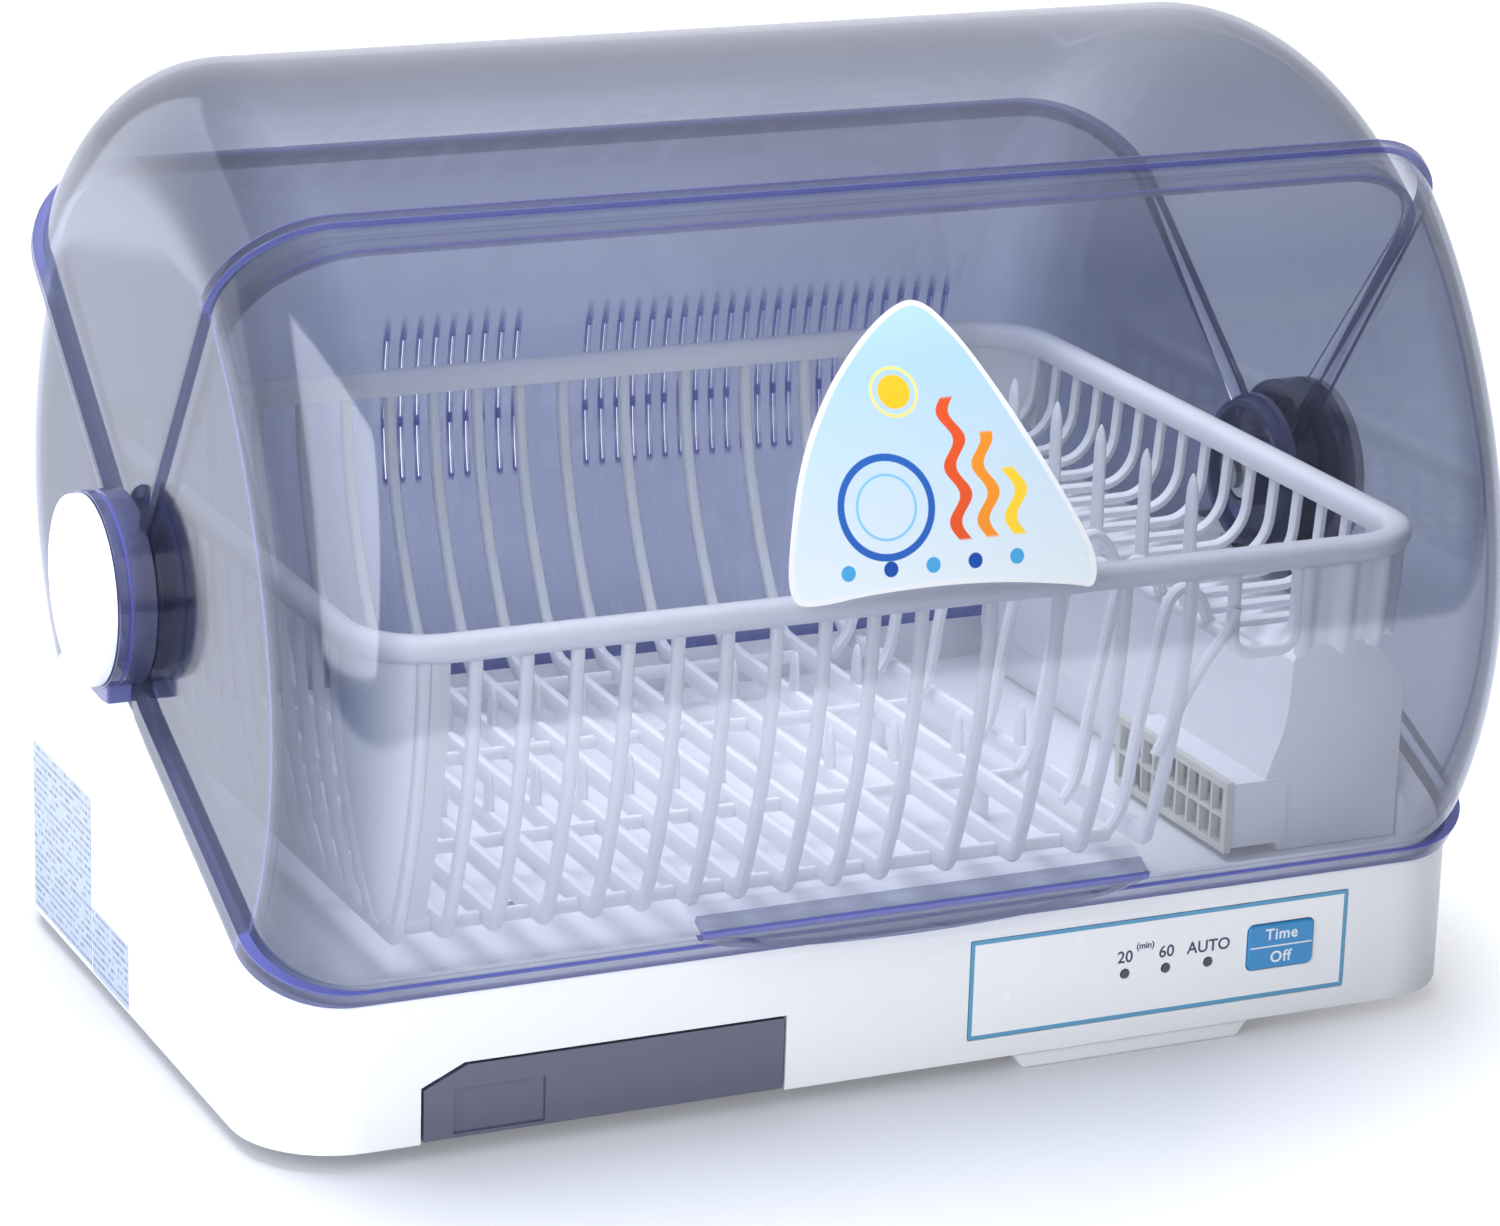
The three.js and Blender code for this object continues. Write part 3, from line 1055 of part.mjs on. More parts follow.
function controlPanel() {
  const back = -base.front + panel.recess - fit.seat / 2;
  const plate = acrossY(roundedBox(panel.left, panel.right, panel.bottom, panel.top, panel.corner), back - panel.thick, back);
  return cut(plate, ...lampHoles(), acrossY(buttonOutline(fit.run), -base.front - fit.overrun, -base.front + base.wall));
}

function lampBody(x) {
  return rodY(lamps.radius, -base.front - lamps.proud, boardFront - fit.seat, x, lampZ, sides.tiny);
}

function timeButton() {
  const face = -base.front - button.proud;
  const capBody = acrossY(buttonOutline(0), face, face + button.skin);
  const [x, z] = [(button.left + button.right) / 2, (button.bottom + button.top) / 2];
  const stem = rodY(button.stem, face + button.skin / 2, plungerFront() - button.travel - fit.seat, x, z, sides.tiny);
  return join(capBody, stem);
}

// The key switch's plunger stands behind the stem by the button's travel
function plungerFront() {
  return boardFront - fit.seat - keySwitch.body - keySwitch.plungerLength;
}

function keySwitchBody() {
  const [x, z] = [(button.left + button.right) / 2, (button.bottom + button.top) / 2];
  const back = boardFront - fit.seat;
  const half = keySwitch.size / 2;
  const can = block(x - half, x + half, back - keySwitch.body, back, z - half, z + half);
  return join(can, rodY(keySwitch.plunger, plungerFront(), back - keySwitch.body / 2, x, z, sides.tiny));
}

function controlBoard() {
  return block(board.left, board.right, boardFront, boardFront + board.thick, board.bottom, board.top);
}

// Finishes

const whiteAbs = finish(0xf3f5f8, 0.35);
const whitePp = finish(0xeef1f6, 0.45);
const tintedClear = finish(0xb9bede, 0.08, 0, 0.35);
const smokyClear = finish(0x6c6a88, 0.15, 0, 0.6);
const rubber = finish(0x2b2b2d, 0.9);
const steel = finish(0xb9bcc0, 0.35, 1);
const greyPp = finish(0xc9c6bd, 0.5);

place('base_shell', baseShell(), whiteAbs);
place('bottom_cover', bottomCover(), whiteAbs);
place('front_foot_rail', footRail(), whiteAbs);
for (const [name, [x, y]] of Object.entries(footPlaces())) {
  place(name, rodZ(foot.radius - foot.taper, 0, underside - fit.seat, x, y, sides.small, foot.radius), rubber);
}
screwPlaces().forEach(([x, y], i) => place(`bottom_screw_${i + 1}`, screwBody(x, y), steel));
place('rear_cover', rearCover(), tintedClear);
place('upper_lid', upperLid(), tintedClear);
place('front_lid', frontLid(), tintedClear);
for (const [word, side] of [['left', -1], ['right', 1]]) {
  place(`pivot_cap_${word}`, pivotCap(side), whiteAbs);
  place(`pivot_screw_${word}`, pivotScrewBody(side), steel);
  place(`outer_washer_${word}`, frictionWasher(side, shells.upper, shells.front), greyPp);
  place(`inner_washer_${word}`, frictionWasher(side, shells.rear, shells.upper), greyPp);
}
place('dish_basket', dishBasket(), whitePp);
place('drip_tray', dripTray(), smokyClear);
place('blower_cover', blowerCover(), whiteAbs);
place('air_outlet_grille', outletGrille(), greyPp);
place('fan_housing', fanHousing(), greyPp);
place('fan_wheel', fanWheel(), greyPp);
place('motor_shaft', motorShaft(), steel);
place('fan_motor', fanMotor(), steel);
place('motor_mount', motorMount(), steel);
place('heater_frame', heaterFrame(), finish(0xd8c9a4, 0.7));
place('heater_element', heaterElement(), finish(0x8f8a86, 0.4, 1));
place('thermostat', thermostatBody(), finish(0x3a3330, 0.5));
place('terminal_block', terminalBlock(), finish(0xe9e7de, 0.5));
place('cord_grommet', cordGrommet(), rubber);
place('control_panel', controlPanel(), finish(0xf7f9fb, 0.3));
for (const [name, x] of Object.entries(lampPlaces)) place(name, lampBody(x), finish(0x3b3f45, 0.3));
place('time_off_button', timeButton(), finish(0x2f8cc8, 0.35));
place('key_switch', keySwitchBody(), finish(0x35363a, 0.4));
place('control_board', controlBoard(), finish(0x2d6b44, 0.5));

export default group;
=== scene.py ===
"""Tabletop electric dish dryer: clear nested lids, a moulded dish basket, a white base and its stage.

Lengths in this file are millimetres until they go into a mesh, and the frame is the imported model's:
+X to the right, -Y out of the front, +Z up.
"""
import math

import bmesh
import bpy
import numpy as np
from mathutils import Matrix, Vector


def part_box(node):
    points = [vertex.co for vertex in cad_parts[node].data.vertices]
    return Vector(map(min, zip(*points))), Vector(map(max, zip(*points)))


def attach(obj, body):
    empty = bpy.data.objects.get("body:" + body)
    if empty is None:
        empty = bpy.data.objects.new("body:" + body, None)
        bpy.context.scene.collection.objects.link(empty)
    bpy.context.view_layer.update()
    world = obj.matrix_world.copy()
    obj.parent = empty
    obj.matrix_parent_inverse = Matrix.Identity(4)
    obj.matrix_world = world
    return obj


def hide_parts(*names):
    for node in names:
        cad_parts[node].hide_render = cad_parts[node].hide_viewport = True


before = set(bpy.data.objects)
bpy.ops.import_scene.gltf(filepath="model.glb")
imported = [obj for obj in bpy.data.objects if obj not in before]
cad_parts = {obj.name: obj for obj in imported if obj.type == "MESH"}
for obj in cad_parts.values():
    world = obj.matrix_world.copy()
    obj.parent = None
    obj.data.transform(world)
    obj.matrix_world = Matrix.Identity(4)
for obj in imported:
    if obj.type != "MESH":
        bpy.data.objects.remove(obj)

bl_info = {
    "name": "Dish Dryer",
    "version": (1, 0, 0),
    "blender": (4, 5, 0),
    "location": "View3D > Sidebar > Dish Dryer",
    "description": "Builds a tabletop electric dish dryer over its packed frame",
    "category": "Add Mesh",
}

MM = 0.001
TRIM = 0.12  # every smooth skin lies this far inside the frame's, so that it stays in the frame's box
WELD = 2e-6  # points nearer than this are one, in metres


# Sizes and colours that a user would change

def length(name, description, default):
    return bpy.props.FloatProperty(name=name, description=description, default=default, min=0.0,
                                   unit="LENGTH")


def shade(name, description, code):
    return bpy.props.FloatVectorProperty(
        name=name, description=description, subtype="COLOR", size=3, min=0.0, max=1.0, default=linear(code)
    )


def linear(code):
    """An sRGB colour written as six hex digits, as linear red, green and blue."""
    value = np.array([int(code[i : i + 2], 16) for i in (0, 2, 4)]) / 255
    return tuple(float(c) for c in np.where(value <= 0.04045, value / 12.92,
                                            ((value + 0.055) / 1.055) ** 2.4))


class DryerSizes(bpy.types.PropertyGroup):
    lid_wall: length("Lid wall", "Thickness of the clear lids", 0.0024)
    bead_width: length("Bead width", "Width of the raised frame along a lid's edge", 0.0045)
    rim_width: length("Rim width", "Width of the basket's rim", 0.0104)
    card_stand: length("Card stand", "How far the printed card stands off the lid", 0.0003)
    border: length("Border", "Width of the blue border round the control panel", 0.0015)


class DryerColours(bpy.types.PropertyGroup):
    base: shade("Base", "Moulded ABS of the base", "F1F3F6")
    basket: shade("Basket", "Moulded polypropylene of the basket", "F3F5F9")
    lid_deep: shade("Lid edge", "What an edge of a clear wall lets through", "5A60A8")
    tray: shade("Tray", "What one face of the smoky tray lets through", "9A97B4")
    panel_blue: shade("Panel blue", "Printed blue of the panel's border", "4A96BE")
    button: shade("Button", "Moulded blue of the button", "2F8CC8")
    grille: shade("Grille", "Heat-resistant plastic of the outlet", "D3D1C6")


def sizes():
    return bpy.context.scene.dryer_sizes


def colours():
    return bpy.context.scene.dryer_colours


# Meshes from grids

def part(points, faces, mark):
    """One closed body: its points in millimetres, its quads facing out, and a mark from 0 to 1 at each
    point."""
    a, b, c, d = np.moveaxis(points[faces], 1, 0)
    if np.einsum("ij,ij", a, np.cross(b, c) + np.cross(c, d)) < 0:
        faces = faces[:, ::-1]
    return points, faces, mark


def rings(points, closed=False, mark=0.0):
    """A body from rings of points, each joined to the next. A closed body's last ring is joined to its first.
    The mark is one value, or one for each ring."""
    points = np.asarray(points, float)
    count, sides = points.shape[:2]
    i, j = np.meshgrid(np.arange(count if closed else count - 1), np.arange(sides), indexing="ij")
    i2, j2 = (i + 1) % count, (j + 1) % sides
    faces = np.stack([i * sides + j, i2 * sides + j, i2 * sides + j2, i * sides + j2], -1).reshape(-1, 4)
    marks = np.broadcast_to(np.reshape(mark, (-1, 1)), (count, sides))
    return part(points.reshape(-1, 3), faces, marks.reshape(-1))


def walled(outer, inner, keep=None, mark=0.0, inner_mark=None):
    """A closed body between two grids of points of one size. Cells that keep leaves out become holes, and
    every edge of what stays gets a wall from the outer grid to the inner one."""
    nu, nv = outer.shape[:2]
    n = nu * nv
    keep = np.ones((nu - 1, nv - 1), bool) if keep is None else keep
    at = np.arange(n).reshape(nu, nv)
    a, b, c, d = at[:-1, :-1], at[1:, :-1], at[1:, 1:], at[:-1, 1:]
    faces = [np.stack([a, b, c, d], -1)[keep], np.stack([a, d, c, b], -1)[keep] + n]
    pad = np.pad(keep, 1)
    for p, q, before, after in ((at[1:, :], at[:-1, :], pad[1:-1, :-1], pad[1:-1, 1:]),
                                (at[:, :-1], at[:, 1:], pad[:-1, 1:-1], pad[1:, 1:-1])):
        for first, second, here in ((p, q, after & ~before), (q, p, before & ~after)):
            faces.append(np.stack([first, second, second + n, first + n], -1)[here])
    marks = [np.broadcast_to(m, (nu, nv)).reshape(-1) for m
             in (mark, mark if inner_mark is None else inner_mark)]
    used, faces = np.unique(np.concatenate(faces), return_inverse=True)
    points = np.concatenate([outer.reshape(-1, 3), inner.reshape(-1, 3)])[used]
    return part(points, faces.reshape(-1, 4), np.concatenate(marks)[used])


def section(sides, power):
    """Unit points of a superellipse: cosine and sine, each raised to 2 / power with its sign kept."""
    angle = (np.arange(sides) + 0.5) * 2 * np.pi / sides
    return [np.sign(w) * np.abs(w) ** (2 / power) for w in (np.cos(angle), np.sin(angle))]


def swept(path, normal, across, thick, sides=10, power=2.4):
    """Carries a superellipse along a path that lies in the plane of normal: across is half its size along
    normal, and thick half its size in the plane, which may differ from point to point. Each end is closed by
    a ring shrunk to the path's own point."""
    path = np.asarray(path, float)
    along = np.gradient(path, axis=0)
    along /= np.linalg.norm(along, axis=1, keepdims=True)
    order = np.r_[0, 0 : len(path), -1]
    size = np.r_[0.0, np.ones(len(path)), 0.0]
    side = np.cross(normal, along)[order]
    thick = np.broadcast_to(thick, len(path))[order]
    u, v = section(sides, power)
    return rings(path[order][:, None] + normal * ((across * size)[:, None] * u)[..., None]
                 + side[:, None] * ((thick * size)[:, None] * v)[..., None])


def turned(profile, side, mark=0.0, sides=72, closed=True):
    """Turns a profile of (radius, distance out from the middle) round the lids' axle, on one side of the
    object."""
    r, x = np.array(profile, float).T[..., None]
    angle = np.arange(sides) * 2 * np.pi / sides
    places = np.broadcast_arrays(side * x, AXLE[1] + r * np.cos(angle), AXLE[2] + r * np.sin(angle))
    return rings(np.stack(places, -1), closed, mark)


def cut(points):
    """Points at a quarter and at three quarters of each leg of a path."""
    a, b = points[:-1], points[1:]
    return np.stack([0.75 * a + 0.25 * b, 0.25 * a + 0.75 * b], 1).reshape(-1, points.shape[1])


def smoothed(points, rounds=2):
    """Cuts each corner of a path, a few times, and keeps its ends."""
    points = np.asarray(points, float)
    for _ in range(rounds):
        points = np.concatenate([points[:1], cut(points)[1:-1], points[-1:]])
    return points


def weld(mesh, flat=None):
    """Joins points that coincide. Then faces within flat degrees of one plane are made one, or else what has
    no size goes."""
    held = bmesh.new()
    held.from_mesh(mesh)
    bmesh.ops.remove_doubles(held, verts=held.verts, dist=WELD)
    if flat:
        bmesh.ops.dissolve_limit(held, angle_limit=math.radians(flat), verts=held.verts, edges=held.edges)
    else:
        bmesh.ops.dissolve_degenerate(held, edges=held.edges, dist=1e-7)
    held.to_mesh(mesh)
    held.free()


def make(name, parts, body, finishes, replaces=(), sharp=32.0):
    """One named mesh object from closed bodies, in the frame's place, riding on a body of the frame."""
    points, faces, marks = zip(*parts)
    starts = np.cumsum([0] + [len(p) for p in points[:-1]])
    points = np.concatenate(points) * MM
    faces = np.concatenate([f + start for f, start in zip(faces, starts)])
    mesh = bpy.data.meshes.new(name)
    mesh.vertices.add(len(points))
    mesh.vertices.foreach_set("co", points.astype(np.float32).reshape(-1))
    mesh.loops.add(faces.size)
    mesh.loops.foreach_set("vertex_index", faces.astype(np.int32).reshape(-1))
    mesh.polygons.add(len(faces))
    mesh.polygons.foreach_set("loop_start", np.arange(0, faces.size, 4, dtype=np.int32))
    mesh.update(calc_edges=True)
    edge = mesh.attributes.new("edge", "FLOAT", "POINT")
    edge.data.foreach_set("value", np.concatenate(marks).astype(np.float32))
    weld(mesh)
    mesh.validate()
    return placed(name, mesh, body, finishes, replaces, sharp)


def placed(name, mesh, body, finishes, replaces=(), sharp=32.0):
    """A smooth-shaded object from a mesh, with its finishes, its body and what it stands for in the frame."""
    mesh.polygons.foreach_set("use_smooth", np.ones(len(mesh.polygons), bool))
    mesh.set_sharp_from_angle(angle=math.radians(sharp))
    for finish in finishes if isinstance(finishes, list) else [finishes]:
        mesh.materials.append(finish)
    made = bpy.data.objects.new(name, mesh)
    bpy.context.scene.collection.objects.link(made)
    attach(made, body)
    if replaces:
        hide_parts(*replaces)
    return made


def softened(node, body, finish, width, segments=3):
    """A copy of a frame solid whose flat faces are made whole and whose edges are rounded off inwards."""
    flat, sharp = 0.6, 28.0
    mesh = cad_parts[node].data.copy()
    mesh.materials.clear()
    weld(mesh, flat)
    made = placed(f"{node}_moulding", mesh, body, finish, (node,), sharp)
    bevel = made.modifiers.new("Rounded edges", "BEVEL")
    bevel.width = width * MM
    bevel.segments = segments
    bevel.limit_method = "ANGLE"
    bevel.angle_limit = math.radians(sharp)
    bevel.use_clamp_overlap = True
    bevel.harden_normals = True


def finish_nodes(finish, *nodes):
    """Gives frame solids their finish, through their objects' own slots."""
    for node in nodes:
        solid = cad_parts[node]
        if not solid.material_slots:
            solid.data.materials.append(None)
        for held in solid.material_slots:
            held.link = "OBJECT"
            held.material = finish


# Materials

def rgba(colour):
    """A colour with its alpha, from six hex digits or from linear red, green and blue."""
    return (*(linear(colour) if isinstance(colour, str) else colour)[:3], 1.0)


def dimmed(colour, share):
    return tuple(c * share for c in rgba(colour)[:3])


def add(tree, kind, inputs=None, **settings):
    """Adds one node with its settings, and with its sockets set to values or fed by other sockets. Returns
    its outputs."""
    node = tree.nodes.new("ShaderNode" + kind)
    for key, value in settings.items():
        setattr(node, key, value)
    for key, value in (inputs or {}).items():
        socket = node.inputs[key]
        if isinstance(value, bpy.types.NodeSocket):
            tree.links.new(value, socket)
        else:
            socket.default_value = rgba(value) if socket.type == "RGBA" else value
    return node.outputs


def material(name, surface, *values):
    """The material of a name. The first time, surface fills its tree and returns the shader that goes out."""
    made = bpy.data.materials.get(name)
    if made is None:
        made = bpy.data.materials.new(name)
        made.use_nodes = True
        tree = made.node_tree
        tree.nodes.clear()
        add(tree, "OutputMaterial", {"Surface": surface(tree, *values)})
    return made


def plastic(tree, colour, darkest, gloss, fine, bump, flow, finish):
    """Moulded plastic: a slow noise, flow, carries its shade from the darkest share of its colour and its
    roughness between the two of gloss, where the melt flowed, and a fine noise is the mould's grain, bumped
    by (strength, depth). Each noise is (scale, detail), and finish holds the shader's other inputs."""
    place = add(tree, "TexCoord")["Object"]
    drift, grain = (add(tree, "TexNoise", {"Vector": place, "Scale": scale, "Detail": detail})[0]
                    for scale, detail in (flow, fine))
    tone = add(tree, "MixRGB", {"Fac": drift, "Color1": dimmed(colour, darkest), "Color2": colour})[0]
    rough = add(tree, "MapRange", {"Value": drift, "From Min": 0.3, "From Max": 0.7,
                                   "To Min": gloss[0], "To Max": gloss[1]})[0]
    normal = add(tree, "Bump", {"Height": grain, "Strength": bump[0], "Distance": bump[1]})["Normal"]
    return add(tree, "BsdfPrincipled", {"Base Color": tone, "Roughness": rough, "Normal": normal,
                                        **finish})[0]


def moulded(name, colour, roughness, grain, depth, shade_depth=0.03, coat=0.0):
    """Moulded plastic with a spark texture. grain is the texture's size in millimetres, depth how strongly it
    shows, and shade_depth how much its darker places lose."""
    return material(name, plastic, colour, 1 - shade_depth, (roughness * 0.9, roughness * 1.1),
                    (1 / (grain * MM), 2.0), (depth, grain * MM * 0.25), (14.0, 2.0),
                    {"IOR": 1.5, "Coat Weight": coat})


def basket_polypropylene():
    """White polypropylene, moulded and a little waxy: it lets some light into thin bars, so their shade is
    soft."""
    waxy = {"IOR": 1.49, "Subsurface Weight": 0.25, "Subsurface Scale": 0.004,
            "Subsurface Radius": (1.0, 1.0, 1.1)}
    return material("Moulded white polypropylene", plastic, colours().basket, 0.965, (0.3, 0.4),
                    (1 / (0.8 * MM), 1.0), (0.06, 0.0002), (22.0, 3.0), waxy)


def clear_plastic(tree, face, grazed, deep, haze, haze_share, edge_share, gloss):
    """Clear moulded styrene with a blue tint, polished. Seen square on, a face only tints what is behind it.
    Seen along, it deepens towards grey-blue and mirrors more, by the fifth power of the slant. Cut edges and
    creases, which the mark names, carry light inside them and show a deep blue. The side walls, past 200 mm
    from the middle, get a darker tint, which is painted shade on the sides. Slow flow lines vary the tint a
    little."""
    place = add(tree, "TexCoord")["Object"]
    edge = add(tree, "Attribute", attribute_name="edge")["Fac"]
    facing = add(tree, "LayerWeight", {"Blend": 0.5})["Facing"]
    far_out = add(tree, "Math", {0: add(tree, "SeparateXYZ", {0: place})["X"]}, operation="ABSOLUTE")[0]
    # past 200 mm from the middle the tint darkens: painted shade on the side walls
    side = add(tree, "MapRange", {"Value": far_out, "From Min": 0.2, "From Max": 0.236})[0]
    flow = add(tree, "TexNoise", {"Vector": place, "Scale": 5.0, "Detail": 1.0, "Distortion": 0.6})[0]
    drift = add(tree, "MapRange", {"Value": flow, "From Min": 0.35, "From Max": 0.65, "To Max": 0.08})[0]
    graze = add(tree, "Math", {0: facing, 1: 2.0}, operation="POWER")[0]
    depth = add(tree, "Math", {0: graze, 1: 0.92, 2: drift}, operation="MULTIPLY_ADD", use_clamp=True)[0]
    tint = add(tree, "MixRGB", {"Fac": depth, "Color1": face, "Color2": grazed})[0]
    tint = add(tree, "MixRGB", {"Fac": side, "Color1": tint, "Color2": "C5C9D1"}, blend_type="MULTIPLY")[0]
    tint = add(tree, "MixRGB", {"Fac": edge, "Color1": tint, "Color2": deep})[0]
    through = add(tree, "BsdfTransparent", {"Color": tint})[0]
    bulk = add(tree, "MixRGB", {"Fac": edge, "Color1": haze, "Color2": "7A80D6"})[0]
    body = add(tree, "BsdfDiffuse", {"Color": bulk})[0]
    cloudy = add(tree, "MapRange", {"Value": edge, "To Min": haze_share, "To Max": edge_share})[0]
    milky = add(tree, "MixShader", {0: cloudy, 1: through, 2: body})[0]
    mirror = add(tree, "Math", {0: facing, 1: 5.0}, operation="POWER")[0]
    mirror = add(tree, "Math", {0: mirror, 1: 0.9, 2: 0.055}, operation="MULTIPLY_ADD")[0]
    shine = add(tree, "BsdfGlossy", {"Color": "F2F4FA", "Roughness": gloss})[0]
    return add(tree, "MixShader", {0: mirror, 1: milky, 2: shine})[0]


def lid_styrene(which):
    """One batch of clear styrene for each lid, each with its own face tint. The front lid is the clearest to
    look through. The rear cover's much darker tint is painted shade, for the dim back of the object seen
    through it."""
    # the rear cover's dark face tint is painted shade
    face = {"front": "F6F7FA", "upper": "F0F2F6", "rear": "B8BDCC"}[which]
    return material(f"Clear blue styrene {which}", clear_plastic, face, "9EA2B0", colours().lid_deep,
                    "A0A4C4",
                    0.02, 0.5, 0.09)


def drawn_metal(tree, colour, roughness, grain, stretch):
    """Drawn or ground metal: a noise stretched along its fine lines spreads its highlights, with a faint
    change of shade."""
    place = add(tree, "Mapping", {"Vector": add(tree, "TexCoord")["Object"], "Scale": stretch})[0]
    lines = add(tree, "TexNoise", {"Vector": place, "Scale": 1 / (grain * MM), "Detail": 2.0})[0]
    tone = add(tree, "MixRGB", {"Fac": lines, "Color1": dimmed(colour, 0.9), "Color2": colour})[0]
    gloss = add(tree, "MapRange", {"Value": lines, "To Min": roughness * 0.85, "To Max": roughness * 1.2})[0]
    return add(tree, "BsdfPrincipled", {"Base Color": tone, "Roughness": gloss, "Metallic": 1.0})[0]


def metal(name, colour, roughness, grain, stretch=(1.0, 1.0, 1.0)):
    """Bare metal sheet or bar, whose drawn lines are grain millimetres apart."""
    return material(name, drawn_metal, colour, roughness, grain, stretch)


def printed_overlay(tree):
    """White polyester film, printed on its back and laid into the base: smooth and a little glossy, with a
    blue border line round it, up to a distance from its nearest side."""
    low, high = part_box("control_panel")
    place = add(tree, "TexCoord")["Object"]
    x, _, z = add(tree, "SeparateXYZ", {0: place})
    inside = add(tree, "Math", {0: x, 1: low.x}, operation="SUBTRACT")[0]
    for a, b in ((high.x, x), (z, low.z), (high.z, z)):
        gap = add(tree, "Math", {0: a, 1: b}, operation="SUBTRACT")[0]
        inside = add(tree, "Math", {0: inside, 1: gap}, operation="MINIMUM")[0]
    border, soft = sizes().border, 0.1 * MM
    line = add(tree, "MapRange", {"Value": inside, "From Min": border, "From Max": border + soft,
                                  "To Min": 1.0, "To Max": 0.0})[0]
    mottle = add(tree, "TexNoise", {"Vector": place, "Scale": 60.0})[0]
    white = add(tree, "MixRGB", {"Fac": mottle, "Color1": "F0F2F5", "Color2": "F5F7F9"})[0]
    tone = add(tree, "MixRGB", {"Fac": line, "Color1": white, "Color2": colours().panel_blue})[0]
    gloss = add(tree, "MapRange", {"Value": mottle, "To Min": 0.22, "To Max": 0.3})[0]
    return add(tree, "BsdfPrincipled", {"Base Color": tone, "Roughness": gloss, "IOR": 1.57})[0]


def printed_ink(name, colour):
    """Screen-printed ink: a thin, dull film with a faint unevenness."""
    return moulded(name, colour, 0.5, 0.5, 0.03, 0.08)


def card_ring(tree, u, v, across, up, radius, width):
    """Where a printed ring is, or a dot if its radius is 0: the distance from its middle, less its radius, is
    under half its width. Its edge is soft over 0.15 mm each way."""
    gaps = [add(tree, "Math", {0: way, 1: at}, operation="SUBTRACT")[0] for way, at in ((u, across), (v, up))]
    squares = [add(tree, "Math", {0: gap, 1: gap}, operation="MULTIPLY")[0] for gap in gaps]
    total = add(tree, "Math", {0: squares[0], 1: squares[1]}, operation="ADD")[0]
    far = add(tree, "Math", {0: total}, operation="SQRT")[0]
    past = add(tree, "Math", {0: far, 1: radius}, operation="SUBTRACT")[0]
    off = add(tree, "Math", {0: past}, operation="ABSOLUTE")[0]
    soft = 0.15
    return add(tree, "MapRange", {"Value": off, "From Min": width / 2 + soft,
                                  "From Max": width / 2 - soft})[0]


def card_wave(tree, u, v, k):
    """Where the printed air wave number k is: within 2.5 mm of a sine up the card, between its foot and
    top."""
    turn = add(tree, "Math", {0: v, 1: 0.33}, operation="MULTIPLY")[0]
    sine = add(tree, "Math", {0: turn}, operation="SINE")[0]
    wave = add(tree, "Math", {0: sine, 1: 2.4}, operation="MULTIPLY")[0]
    aside = add(tree, "Math", {0: u, 1: wave}, operation="SUBTRACT")[0]
    apart = add(tree, "Math", {0: aside, 1: 2.0 + 10.5 * k}, operation="SUBTRACT")[0]
    off = add(tree, "Math", {0: apart}, operation="ABSOLUTE")[0]
    line = add(tree, "MapRange", {"Value": off, "From Min": 2.5, "From Max": 2.2})[0]
    foot = add(tree, "MapRange", {"Value": v, "From Min": 46.0, "From Max": 47.0})[0]
    top = add(tree, "MapRange", {"Value": v, "From Min": 96.0 - 13.0 * k, "From Max": 95.0 - 13.0 * k})[0]
    tall = add(tree, "Math", {0: foot, 1: top}, operation="MULTIPLY")[0]
    return add(tree, "Math", {0: line, 1: tall}, operation="MULTIPLY")[0]


def printed_card(tree):
    """Coated card with a plain printed design: a pale blue field in a white border, a blue plate ring, three
    warm air waves in orange and yellow, a row of blue dots and a yellow disc. The pattern follows the card's
    own places: millimetres along it and up it, and inwards from its edge."""
    places = add(tree, "Attribute", attribute_name="card_place")["Vector"]
    u, v, inset = add(tree, "SeparateXYZ", {0: places})
    field = add(tree, "MapRange", {"Value": inset, "From Min": 1.9, "From Max": 2.2})[0]
    glow = add(tree, "MapRange", {"Value": v, "From Min": 108.0, "From Max": 30.0})[0]
    pale = add(tree, "MixRGB", {"Fac": glow, "Color1": "A8CBE3", "Color2": "DCE6EE"})[0]
    tone = add(tree, "MixRGB", {"Fac": field, "Color1": "E4E7EC", "Color2": pale})[0]
    rings_under = [("2C63B8", (-26.0, 60.0, 17.0, 2.6)), ("7FC4E8", (-26.0, 60.0, 11.0, 0.9))]
    rings_over = [("1F4FA8" if k % 2 else "4AA3DA", (-42.0 + 16.0 * k, 39.0, 0.0, 5.4)) for k in range(5)]
    rings_over += [("F4C02C", (-17.0, 99.0, 0.0, 12.0)), ("F9DE7A", (-17.0, 99.0, 8.5, 1.0))]
    shapes = [(colour, card_ring(tree, u, v, *ring)) for colour, ring in rings_under]
    shapes += [(colour, card_wave(tree, u, v, k)) for k, colour in enumerate(("E2572B", "F0922E", "F6CF3A"))]
    shapes += [(colour, card_ring(tree, u, v, *ring)) for colour, ring in rings_over]
    for colour, share in shapes:
        tone = add(tree, "MixRGB", {"Fac": share, "Color1": tone, "Color2": colour})[0]
    mottle = add(tree, "TexNoise", {"Vector": add(tree, "TexCoord")["Object"], "Scale": 90.0})[0]
    gloss = add(tree, "MapRange", {"Value": mottle, "To Min": 0.25, "To Max": 0.35})[0]
    return add(tree, "BsdfPrincipled", {"Base Color": tone, "Roughness": gloss, "IOR": 1.5})[0]


